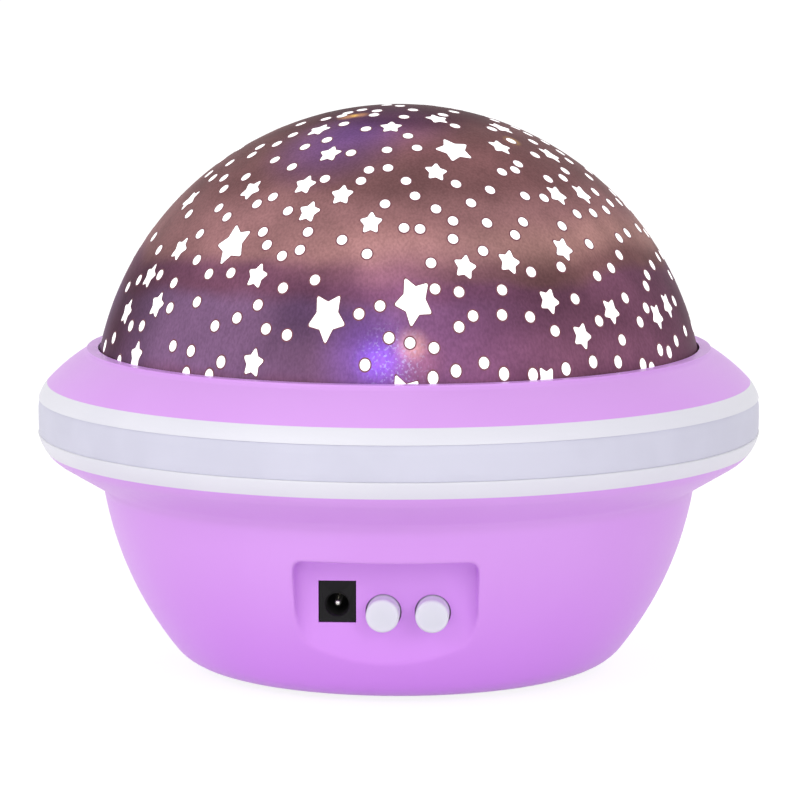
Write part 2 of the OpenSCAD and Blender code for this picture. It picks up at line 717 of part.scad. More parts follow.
module drive_pinion() {
    color(NATURAL) difference() {
        at(axis_a, drive_z) spur(drive_teeth, ring_module, drive_top_z - drive_z, 0);
        at(axis_a, drive_z - OVER) cylinder(r = sleeve_r - 0.8 + TINY, h = drive_top_z);
    }
}

// a wheel with a small pinion on top, both on one bush
module compound(p, level, wheel_turn, pinion_turn) {
    color(NATURAL) difference() {
        union() {
            at(p, layer_z[level]) spur(wheel_teeth, train_module, gear_face, wheel_turn);
            at(p, layer_z[level] + gear_face - TINY)
                spur(pinion_teeth, train_module, layer + TINY, pinion_turn);
        }
        at(p, case_z) cylinder(r = bush_r, h = chassis_z);
    }
}

module compound_gear_1() {
    compound(axis_a, 0, first_turn,
        mesh_turn(idler_dir + 180, wheel_teeth, idler_turn, pinion_teeth));
}

module compound_gear_2() {
    compound(axis_b, 1, idler_turn, mesh_turn(idler_dir, wheel_teeth, output_turn, pinion_teeth));
}

module motor_can() {
    color(STEEL) at(axis_c, case_z - motor_l) difference() {
        cylinder(r = motor_d / 2, h = motor_l - fit_gap);
        translate([0, 0, -OVER]) cylinder(r = motor_d / 2 - 0.8, h = motor_l - 1);
        translate([0, 0, -OVER]) cylinder(r = shaft_r + 0.4, h = motor_l + 2 * OVER);
    }
}

endcap_h = 1.6;
module motor_endcap() {
    color(BLACK) at(axis_c, case_z - motor_l - endcap_h / 2) difference() {
        union() {
            cylinder(r = motor_d / 2 - 0.9, h = endcap_h + 0.6);
            for (s = [-1, 1])
                translate([s * motor_d * 0.3 - 0.8, -0.25, -1.4]) cube([1.6, 0.5, 1.5]);
        }
        translate([0, 0, endcap_h / 2]) cylinder(r = shaft_r + running_gap, h = endcap_h);
    }
}

module motor_shaft() {
    rotor_l = motor_l - 5;
    color(STEEL) at(axis_c, case_z - motor_l + endcap_h / 2) {
        cylinder(r = shaft_r, h = layer_z[0] + gear_face - case_z + motor_l - endcap_h / 2);
        translate([0, 0, 2]) cylinder(r = motor_d / 2 - 1.6, h = rotor_l);
    }
}

module motor_pinion() {
    color([0.8, 0.66, 0.3]) difference() {
        at(axis_c, layer_z[0]) spur(pinion_teeth, train_module, gear_face,
            mesh_turn(motor_dir, wheel_teeth, first_turn, pinion_teeth));
        at(axis_c, layer_z[0] - OVER) cylinder(r = shaft_r + TINY, h = gear_face + 2 * OVER);
    }
}

// ---- lamps ----
post_flange_t = 1.6;
post_z = hub_top_z + running_gap;
lamp_board_z = post_z + lamp_post_h;
lamp_board_t = 1.2;
lamp_screw_x = 10;

module lamp_post() {
    spigot_l = 6;
    spigot_r = hub_bore_r - loose_gap;
    color(BLACK) difference() {
        union() {
            translate([0, 0, post_z]) cylinder(r = hub_r + turntable_hub_wall, h = post_flange_t);
            translate([0, 0, post_z - spigot_l]) cylinder(r = spigot_r, h = spigot_l + TINY);
            translate([0, 0, post_z]) cylinder(r = lamp_board_r - 1.5, h = lamp_post_h);
        }
        translate([0, 0, post_z - 2 * spigot_l]) cylinder(r = spigot_r - 1.4, h = dome_r);
        for (s = [-1, 1])
            translate([s * lamp_screw_x, 0, post_z + 0.4])
                cylinder(r = lamp_screw[0] + screw_gap, h = dome_r);
    }
}

module lamp_board() {
    color(WHITE) translate([0, 0, lamp_board_z]) difference() {
        cylinder(r = lamp_board_r, h = lamp_board_t);
        translate([0, 0, -OVER]) cylinder(r = 1.5, h = lamp_board_t + 2 * OVER);
        for (s = [-1, 1])
            translate([s * lamp_screw_x, 0, -OVER])
                cylinder(r = lamp_screw[0] + 0.1, h = lamp_board_t + 2 * OVER);
    }
}

// a lamp with a collar, a round end and two legs
module lamp(dir, tint) {
    collar_h = 1;
    color(tint) rotate(dir) translate([lamp_pcd_r, 0, lamp_board_z + lamp_board_t]) {
        cylinder(r = lamp_r + 0.35, h = collar_h);
        cylinder(r = lamp_r, h = lamp_h - lamp_r);
        translate([0, 0, lamp_h - lamp_r]) sphere(r = lamp_r);
    }
}

module lamp_warm() { lamp(45, [1, 0.85, 0.55]); }
module lamp_red() { lamp(135, [0.9, 0.15, 0.15]); }
module lamp_green() { lamp(225, [0.2, 0.8, 0.3]); }
module lamp_blue() { lamp(315, [0.2, 0.35, 0.95]); }

module lamp_board_screws() {
    color(STEEL) for (s = [-1, 1])
        translate([s * lamp_screw_x, 0, lamp_board_z + lamp_board_t]) rotate([180, 0, 0])
            screw(lamp_screw[0], lamp_screw[1], lamp_screw[2], lamp_screw[3]);
}

// ---- control board ----
module main_board() {
    color(BOARD) difference() {
        translate([-board_w / 2, board_y0, board_z]) cube([board_w, board_l, board_t]);
        for (s = [-1, 1])
            translate([s * board_post[0], board_post[1], board_z - OVER])
                cylinder(r = board_screw[0] + 0.15, h = board_t + 2 * OVER);
    }
}

module board_components() {
    back_y = board_y0 + board_l;
    color(BLACK) {
        translate([-3, switch_y + switch_d + 1.2, board_top]) cube([6, 4.4, 1.5]);
        translate([7, back_y - 3, board_top]) cylinder(r = 1.6, h = 5);
        translate([-9, back_y - 2.4, board_top]) cube([3, 1.6, 0.6]);
        translate([4, switch_y + switch_d + 3.2, board_top]) cube([1, 2, 0.6]);
    }
}

module along_y(x, y, z, r, l) {
    translate([x, y, z]) rotate([-90, 0, 0]) cylinder(r = r, h = l);
}

jack_bore_z = jack_z + jack_bore_rise;

module dc_jack() {
    chamfer = 0.35;
    color(BLACK) difference() {
        translate([jack_x - jack_w / 2, jack_face_y, jack_z]) cube([jack_w, jack_depth, jack_h]);
        along_y(jack_x, jack_face_y - OVER, jack_bore_z, jack_bore_r, jack_bore_depth + OVER);
        along_y(jack_x, jack_face_y, jack_bore_z, pin_root_r + TINY, jack_depth + OVER);
        // mouth of the bore
        translate([jack_x, jack_face_y - TINY, jack_bore_z]) rotate([-90, 0, 0])
            cylinder(r1 = jack_bore_r + chamfer, r2 = jack_bore_r, h = chamfer);
        // pocket of the side contact, open to the bore
        translate([jack_x - 0.8, jack_face_y + 1.6, jack_bore_z]) cube([1.6, 6, jack_bore_r + 1]);
    }
}

pin_start = 1.0;
// the pin is thicker where it is pressed into the socket's back wall
pin_root_r = jack_pin_r + 0.25;
module jack_pin() {
    color(STEEL) {
        along_y(jack_x, jack_face_y + pin_start, jack_bore_z, jack_pin_r, jack_bore_depth - pin_start + TINY);
        along_y(jack_x, jack_face_y + jack_bore_depth, jack_bore_z, pin_root_r, jack_depth - jack_bore_depth);
    }
}

module jack_terminals() {
    leaf_z = jack_bore_z + jack_bore_r + 0.2;
    leg_l = board_t + 1.2;
    color(STEEL) {
        translate([jack_x - 0.6, jack_face_y + 1.8, leaf_z]) cube([1.2, 5.6, 0.4]);
        for (y = [jack_depth - 5.4, jack_depth - 1.6])
            translate([jack_x - 0.5, jack_face_y + y, board_z - 1]) cube([1, 0.5, 0.95]);
    }
}

module switch_body(x) {
    color(BLACK) difference() {
        translate([x - switch_w / 2, switch_y, board_top]) cube([switch_w, switch_d, switch_h]);
        along_y(x, switch_y - OVER, button_z, stem_r + running_gap, OVER + stem_in + button_travel + 0.3);
    }
}

module switch_stem(x) {
    color(WHITE) along_y(x, switch_y - stem_out, button_z, stem_r, stem_out + stem_in);
}

// a cap with a rounded rim, a collar behind the panel and a tail down to the switch
module button_cap(x) {
    face_y = -panel_y - button_proud;
    round_r = 0.6;
    color(WHITE) {
        translate([x, face_y, button_z]) rotate([-90, 0, 0])
            turned(concat([[0, 0]], [for (a = [-90 : 15 : 0])
                [button_r - round_r + round_r * cos(a), round_r + round_r * sin(a)]],
                [[button_r, collar_y - face_y], [button_r + button_collar, collar_y - face_y],
                [button_r + button_collar, collar_y + collar_t - face_y],
                [tail_r, collar_y + collar_t - face_y], [tail_r, switch_y - stem_out - face_y],
                [0, switch_y - stem_out - face_y]]));
    }
}

module light_switch() { switch_body(light_button_x); }
module motor_switch() { switch_body(motor_button_x); }
module light_switch_stem() { switch_stem(light_button_x); }
module motor_switch_stem() { switch_stem(motor_button_x); }
module light_button() { button_cap(light_button_x); }
module motor_button() { button_cap(motor_button_x); }

// ---- battery bay ----
module battery_box() {
    rib_t = 0.6;
    color(BLACK) difference() {
        translate([-bay_l / 2 - box_wall, -bay_w / 2 - box_wall, floor_z])
            cube([bay_l + 2 * box_wall, bay_w + 2 * box_wall, box_top - floor_z]);
        difference() {
            translate([-bay_l / 2, -bay_w / 2, floor_z - OVER])
                cube([bay_l, bay_w, OVER + box_top - box_wall - floor_z]);
            // low ribs that keep the cells apart
            for (i = [1 : cell_count - 1])
                translate([-bay_l / 2, cell_ys[i] - cell_pitch / 2 - rib_t / 2, cell_z + 2.6])
                    cube([bay_l, rib_t, box_top]);
        }
    }
}

plate_t = 0.4;
module cell_plates() {
    plate_w = 8;
    plate_h = 8;
    knob_r = 1.8;
    knob_h = 0.8;
    color(STEEL) for (i = [0 : cell_count - 1], s = [-1, 1])
        translate([s * (bay_l / 2 - plate_t / 2), cell_ys[i], cell_z]) {
            cube([plate_t, plate_w, plate_h], center = true);
            if (plus_end(i) == s)
                rotate([0, -s * 90, 0]) cylinder(r = knob_r, h = plate_t / 2 + knob_h);
        }
}
// the cells lie head to tail
function plus_end(i) = i % 2 == 0 ? 1 : -1;

// rings of a tube of radius r and n sides that follows the points p
function unit(v) = v / norm(v);
function tangent(p, i) = unit(p[min(i + 1, len(p) - 1)] - p[max(i - 1, 0)]);
function side_of(t) = abs(t[2]) < 0.9 ? unit(cross(t, [0, 0, 1])) : unit(cross(t, [0, 1, 0]));
// each ring's first direction is the last one's, made square to the path again
function frames(p, i = 0, u = undef) = i == len(p) ? [] : let (t = tangent(p, i),
    v = i == 0 ? side_of(t) : unit(u - (u * t) * t)) concat([[t, v]], frames(p, i + 1, v));
module swept(p, r, n) {
    f = frames(p);
    pts = [for (i = [0 : len(p) - 1], k = [0 : n - 1]) let (w = cross(f[i][0], f[i][1]), a = 360 * k / n)
        p[i] + r * (cos(a) * f[i][1] + sin(a) * w)];
    m = len(p);
    sides = [for (i = [0 : m - 2], k = [0 : n - 1]) let (a = i * n + k, b = i * n + (k + 1) % n)
        each [[a, a + n, b], [b, a + n, b + n]]];
    first = [for (k = [1 : n - 2]) [0, k, k + 1]];
    last = [for (k = [1 : n - 2]) [(m - 1) * n, (m - 1) * n + k + 1, (m - 1) * n + k]];
    polyhedron(pts, concat(sides, first, last));
}

module cell_springs() {
    turns = 3.5;
    wire_r = 0.3;
    wide_r = 3.2;
    narrow_r = 1.8;
    steps = 9;
    n = floor(turns * steps);
    l = contact_room - 1.6;
    color(STEEL) for (i = [0 : cell_count - 1])
        translate([-plus_end(i) * (bay_l / 2 - plate_t), cell_ys[i], cell_z])
            rotate([0, plus_end(i) * 90, 0])
                swept([for (k = [0 : n]) let (r = wide_r + (narrow_r - wide_r) * k / n)
                    [r * cos(360 * k / steps), r * sin(360 * k / steps), wire_r + (l - wire_r) * k / n]],
                    wire_r, 6);
}

door_t = door_ledge - 0.1;
module battery_door() {
    plug_h = 1.2;
    plug_gap = 0.3;
    grip_w = 12;
    color(LILAC) difference() {
        union() {
            translate([0, 0, base_z]) door_outline(0, door_t);
            translate([-bay_l / 2 + plug_gap, -bay_w / 2 + plug_gap, base_z + door_t - TINY])
                cube([bay_l - 2 * plug_gap, bay_w - 2 * plug_gap, plug_h]);
        }
        translate([tab_x, 0, base_z - OVER]) cylinder(r = tab_screw[0] + screw_gap, h = 4 * OVER);
        translate([tab_x, 0, base_z - OVER]) cylinder(r = tab_screw[2] + 0.2, h = OVER + 0.35);
        // finger grip
        for (i = [0 : 4])
            translate([-door_l / 2 + 2.5 + i * 1.8, -grip_w / 2, base_z - OVER])
                cube([0.9, grip_w, OVER + 0.4]);
    }
}

module door_screw() {
    color(STEEL) translate([tab_x, 0, base_z + 0.35])
        screw(tab_screw[0], tab_screw[1] - 0.6, tab_screw[2], 0.35);
}

module rubber_feet() {
    color([0.8, 0.8, 0.82]) for (p = foot_spots) at(p) cylinder(r = foot_r, h = foot_t);
}

module case_screws() {
    color(STEEL) for (p = foot_spots) at(p, well_top - well_seat)
        screw(case_screw[0], case_screw[1] + well_seat - 1, case_screw[2], case_screw[3]);
}

module shell_screws() {
    color(STEEL) for (a = shell_boss_dirs)
        rotate(a) translate([shell_boss_at, 0, chassis_flange_z])
            screw(shell_screw[0], shell_screw[1] + chassis_flange_t - 1, shell_screw[2], shell_screw[3]);
}

module gearbox_screws() {
    color(STEEL) for (p = lugs) at(p, chassis_z - lug_t)
        screw(gearbox_screw[0], gearbox_screw[1], gearbox_screw[2], gearbox_screw[3]);
}

module board_screws() {
    color(STEEL) for (s = [-1, 1])
        translate([s * board_post[0], board_post[1], board_top]) rotate([180, 0, 0])
            screw(board_screw[0], board_screw[1] + board_t - 0.6, board_screw[2], board_screw[3]);
}

// ---- leads ----
lead_r = 0.55;
// a smooth path through hand-set points, with s steps between each two
function smooth(p, s = 4) = [for (i = [0 : len(p) - 2], k = [0 : (i == len(p) - 2 ? s : s - 1)])
    let (a = p[max(i - 1, 0)], b = p[i], c = p[i + 1], d = p[min(i + 2, len(p) - 1)], t = k / s)
    0.5 * (2 * b + (c - a) * t + (2 * a - 5 * b + 4 * c - d) * t * t
        + (3 * b - a - 3 * c + d) * t * t * t)];

module lead(p, tint) {
    color(tint) swept(smooth(p), lead_r, 8);
}

module motor_leads() {
    terminal_z = case_z - motor_l - endcap_h / 2 - 1.9;
    for (s = [-1, 1]) let (start = [axis_c[0] + s * motor_d * 0.3, axis_c[1], terminal_z])
        lead([start, start + [0, -1, -1.6], [35 + s, -20, 10.5], [29 + s * 0.7, -29 - s * 0.7, 12],
            [20 + s * 0.5, -35.4 - s * 0.7, 13], [12.6, -39.6 - s * 0.7, 13.6],
            [9, -39.6 - s * 0.7, board_z - 0.6]], s < 0 ? "black" : "red");
}

module lamp_leads() {
    for (s = [-1, 1])
        lead([[s * 1.1, board_y0 + board_l - 1.2, board_top + lead_r + 0.1], [s * 1.1, -24, 21],
            [s * 1.3, -10, 24], [s * 1.4, -1.6, 30], [s * 1.4, 0, 42], [s * 1.4, 0, lamp_board_z - 0.7]],
            s < 0 ? "white" : "blue");
}

module battery_leads() {
    for (s = [-1, 1])
        lead([[-bay_l / 2 - box_wall - lead_r - 0.1, s * 5 - 2, cell_z],
            [-30.4 - s, s * 2.4 - 9, 9], [-30.2 - s, -20, 10.5], [-26.3 - s * 0.9, -30.3 - s * 0.7, 12],
            [-19, -38.5 - s * 0.9, 12.8], [-13.2, -39 - s * 0.9, board_z - 0.6]],
            s < 0 ? "black" : "red");
}

lower_bowl();
white_rim();
frosted_band();
upper_shell();
star_dome();
dome_turntable();
inner_chassis();
gearbox_case();
gearbox_cover();
gear_pins();
output_gear();
drive_pinion();
compound_gear_1();
compound_gear_2();
motor_can();
motor_endcap();
motor_shaft();
motor_pinion();
lamp_post();
lamp_board();
lamp_warm();
lamp_red();
lamp_green();
lamp_blue();
lamp_board_screws();
main_board();
board_components();
dc_jack();
jack_pin();
jack_terminals();
light_switch();
motor_switch();
light_switch_stem();
motor_switch_stem();
light_button();
motor_button();
battery_box();
cell_springs();
cell_plates();
battery_door();
door_screw();
rubber_feet();
case_screws();
shell_screws();
gearbox_screws();
board_screws();
motor_leads();
lamp_leads();
battery_leads();
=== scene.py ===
"""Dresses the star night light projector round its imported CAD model.

Everything is in metres in the CAD model's frame: +Z is up, the table is at z = 0 and the control
recess faces -Y. Sizes in the classes are in millimetres, and angles in degrees.
"""

import json
import logging
import math
import random
from collections.abc import Callable, Sequence
from dataclasses import dataclass
from enum import Enum
from functools import partial

import bmesh
import bpy
from bpy.types import Material, Mesh, Node, NodeSocket, NodeTree, Object
from mathutils import Matrix, Vector


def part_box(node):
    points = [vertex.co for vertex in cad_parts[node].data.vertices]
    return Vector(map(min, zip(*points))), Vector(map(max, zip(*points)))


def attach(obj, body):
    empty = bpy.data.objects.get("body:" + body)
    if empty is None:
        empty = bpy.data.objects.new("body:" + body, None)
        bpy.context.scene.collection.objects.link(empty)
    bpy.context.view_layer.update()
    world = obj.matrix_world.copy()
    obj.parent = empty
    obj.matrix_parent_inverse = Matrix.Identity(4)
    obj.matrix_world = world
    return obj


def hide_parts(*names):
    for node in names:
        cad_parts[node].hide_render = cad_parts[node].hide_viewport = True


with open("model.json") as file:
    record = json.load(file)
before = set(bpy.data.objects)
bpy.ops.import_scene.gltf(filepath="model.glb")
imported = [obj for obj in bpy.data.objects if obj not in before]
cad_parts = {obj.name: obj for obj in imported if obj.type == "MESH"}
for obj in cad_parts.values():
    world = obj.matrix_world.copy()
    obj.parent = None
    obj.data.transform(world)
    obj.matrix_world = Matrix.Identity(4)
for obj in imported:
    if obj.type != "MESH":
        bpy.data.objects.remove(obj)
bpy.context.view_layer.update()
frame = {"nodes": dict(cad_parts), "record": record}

LOG = logging.getLogger("night_light")
MM = 0.001

# corners nearer than this become one, and edges shorter than the next are dissolved
JOINED = 0.001 * MM
SLIVER = 0.0005 * MM
# a quarter of a turn in nine steps
QUARTER = [math.radians(10 * k) for k in range(10)]

# kinds of node, and settings, that come up often
MATH = "ShaderNodeMath"
VECTOR = "ShaderNodeVectorMath"
SPAN = "ShaderNodeMapRange"
MIX = "ShaderNodeMix"
SMOOTH = {"interpolation_type": "SMOOTHSTEP"}
COLOURS = {"data_type": "RGBA"}

# the span of a noise's values that a pattern uses: the narrower, the crisper it is
BROAD = (0.2, 0.8)
EVEN = (0.25, 0.75)
MIDDLE = (0.3, 0.7)
CRISP = (0.35, 0.65)

Colour = tuple[float, float, float, float]
Place = tuple[float, float, float]
Adder = Callable[..., Node]
# a window's direction from the dome's centre, and its rotation
Laid = tuple[Vector, Matrix]


class Body(str, Enum):
    """The CAD bodies that carry new pieces."""

    BASE = "base"
    DOME = "dome"
    LIGHT_KEY = "light_key"
    MOTOR_KEY = "motor_key"
    DOOR = "door"


# ---- small tools ----


def linear(code: str) -> Colour:
    """Turns an sRGB hex colour to linear light.

    Args:
        code: Six hex digits, such as "d8a0f2".

    Returns:
        Red, green, blue and an alpha of 1.
    """
    shares = [int(code[i : i + 2], 16) / 255 for i in (0, 2, 4)]
    bent = [s / 12.92 if s <= 0.04045 else ((s + 0.055) / 1.055) ** 2.4 for s in shares]
    return (bent[0], bent[1], bent[2], 1.0)


def add_node(tree: NodeTree, kind: str, sockets: dict | Sequence = (), **settings) -> Node:
    """Adds one node with its settings, and links or sets its input sockets.

    Args:
        tree: The node tree.
        kind: The node's type name.
        sockets: What goes into the inputs, in their order or by their names or numbers: plain
            values, output sockets, or nodes, each of which stands for its first output.
        **settings: The node's own properties.

    Returns:
        The new node.
    """
    node = tree.nodes.new(kind)
    for name, value in settings.items():
        setattr(node, name, value)
    for key, value in sockets.items() if isinstance(sockets, dict) else enumerate(sockets):
        source = value.outputs[0] if isinstance(value, Node) else value
        if isinstance(source, NodeSocket):
            tree.links.new(source, node.inputs[key])
        else:
            node.inputs[key].default_value = source
    return node


def emptied(owner: Material | bpy.types.World) -> Adder:
    """Empties a material's or world's node tree.

    Args:
        owner: The material or world.

    Returns:
        The function that adds a node to the tree.
    """
    owner.use_nodes = True
    owner.node_tree.nodes.clear()
    return partial(add_node, owner.node_tree)


def speckle(add: Adder, size_mm: float, detail: float = 2.0, stretch: Place | None = None) -> Node:
    """Adds a noise pattern on the piece's own coordinates.

    Args:
        add: Adds a node to the material's tree.
        size_mm: Real size of one grain or cloud.
        detail: Number of finer layers.
        stretch: How many times finer the pattern is along each axis.

    Returns:
        The noise, from 0 to 1.
    """
    place = add("ShaderNodeTexCoord").outputs["Object"]
    if stretch is not None:
        place = add("ShaderNodeMapping", {"Vector": place, "Scale": stretch})
    return add("ShaderNodeTexNoise", {"Vector": place, "Scale": 1 / (size_mm * MM), "Detail": detail})


def put(name: str, data: bpy.types.ID) -> Object:
    """Returns a new object of the scene, made from a mesh, a camera or a lamp."""
    made = bpy.data.objects.new(name, data)
    bpy.context.scene.collection.objects.link(made)
    return made


def to_mesh(shape: bmesh.types.BMesh, name: str) -> Mesh:
    """Returns a new mesh of a working shape, which is used up."""
    mesh = bpy.data.meshes.new(name)
    shape.to_mesh(mesh)
    shape.free()
    return mesh


def loft(rings: Sequence[Sequence[Vector]]) -> Mesh:
    """Joins rings of points, given in mm, to a closed solid.

    Args:
        rings: Closed loops with the same number of points.

    Returns:
        The mesh, in metres and with its faces outwards.
    """
    shape = bmesh.new()
    laid = [[shape.verts.new(Vector(p) * MM) for p in ring] for ring in rings]
    for near, far in zip(laid, laid[1:]):
        for k in range(len(near)):
            n = (k + 1) % len(near)
            shape.faces.new((near[k], near[n], far[n], far[k]))
    shape.faces.new(laid[0])
    shape.faces.new(laid[-1])
    bmesh.ops.recalc_face_normals(shape, faces=shape.faces)
    return to_mesh(shape, "solid")


def block(x: Sequence[float], y: Sequence[float], z: Sequence[float]) -> Mesh:
    """Returns a box with the given span along each axis, in mm."""
    outline = ((x[0], z[0]), (x[1], z[0]), (x[1], z[1]), (x[0], z[1]))
    return loft([[Vector((across, out, up)) for across, up in outline] for out in y])


def settled(worker: Object) -> Mesh:
    """Returns an object's mesh as its modifiers leave it, and removes the object."""
    graph = bpy.context.evaluated_depsgraph_get()
    mesh = bpy.data.meshes.new_from_object(worker.evaluated_get(graph))
    bpy.data.objects.remove(worker)
    return mesh


def applied(mesh: Mesh, kind: str, **settings) -> Mesh:
    """Runs one modifier on a mesh.

    Args:
        mesh: The mesh, which is used up.
        kind: The modifier's type name.
        **settings: The modifier's own properties.

    Returns:
        The new mesh.
    """
    worker = put("worker", mesh)
    modifier = worker.modifiers.new("work", kind)
    for name, value in settings.items():
        setattr(modifier, name, value)
    return settled(worker)


def combined(mesh: Mesh, tool: Mesh, way: str) -> Mesh:
    """Adds a solid to another, cuts it away or keeps what both share.

    Args:
        mesh: The solid, which is used up.
        tool: The other solid, which is used up.
        way: UNION, DIFFERENCE or INTERSECT.

    Returns:
        The new mesh.
    """
    other = put("tool", tool)
    done = applied(mesh, "BOOLEAN", object=other, operation=way, solver="EXACT")
    bpy.data.objects.remove(other)
    return done


# ---- finishes ----


@dataclass(frozen=True)
class Finish:
    """A finish, which each kind describes by what goes into its shader."""

    name: str

    def surface(self, add: Adder) -> dict:
        """Returns the shader's inputs, from nodes made with add."""
        raise NotImplementedError

    def make(self) -> Material:
        """Returns the material."""
        material = bpy.data.materials.new(self.name)
        add = emptied(material)
        shader = add("ShaderNodeBsdfPrincipled", self.surface(add))
        add("ShaderNodeOutputMaterial", {"Surface": shader})
        return material


@dataclass(frozen=True)
class MouldedPlastic(Finish):
    """Injection-moulded plastic: an even colour with faint flow clouds, and a very fine grain."""

    colour: str
    cloud: str
    roughness: float = 0.36
    ior: float = 1.5
    cloud_mm: float = 28.0
    # a mould's own grain is too fine to show, so it is drawn coarser
    grain_mm: float = 0.7
    grain_depth_mm: float = 0.006
    specular: float = 0.5
    rough_swing: float = 0.03
    # how milky the plastic is, and how far the light goes in it before it comes out again
    milk: float = 0.0
    milk_reach_mm: float = 2.0
    # painted shade: a deeper tone towards the table, where less light reaches the piece, and the heights over
    # which it fades in
    foot: str | None = None
    painted_shade_span_mm: tuple[float, float] = (2.0, 42.0)

    def surface(self, add: Adder) -> dict:
        """Returns the shader's inputs, from nodes made with add."""
        clouds = add(SPAN, (speckle(add, self.cloud_mm), *CRISP), **SMOOTH)
        tones = {0: clouds, 6: linear(self.colour), 7: linear(self.cloud)}
        tone = add(MIX, tones, **COLOURS).outputs[2]
        # painted shade: the colour deepens towards the table
        if self.foot:
            place = add("ShaderNodeTexCoord").outputs["Object"]
            height = add("ShaderNodeSeparateXYZ", (place,)).outputs[2]
            low, high = self.painted_shade_span_mm
            rise = add(SPAN, (height, low * MM, high * MM), **SMOOTH)
            tone = add(MIX, {0: rise, 6: linear(self.foot), 7: tone}, **COLOURS).outputs[2]
        grain = speckle(add, self.grain_mm, detail=3.0)
        least, most = self.roughness - self.rough_swing, self.roughness + self.rough_swing
        depth = self.grain_depth_mm * MM
        return {
            "Base Color": tone,
            "Roughness": add(SPAN, (grain, *MIDDLE, least, most), **SMOOTH),
            "IOR": self.ior,
            "Specular IOR Level": self.specular,
            "Subsurface Weight": self.milk,
            "Subsurface Radius": (1.0, 1.0, 1.0),
            "Subsurface Scale": self.milk_reach_mm * MM,
            "Normal": add("ShaderNodeBump", {"Height": grain, "Distance": depth, "Strength": 1.0}),
        }


class FilmTone(str, Enum):
    """The colours of the dome's metallic print."""

    UMBER = "54333a"
    MULBERRY = "72495f"
    MAUVE = "7b5b7d"
    HEATHER = "80536b"
    BROWN = "795456"
    BRONZE = "946a6c"
    ROSE = "a47a76"


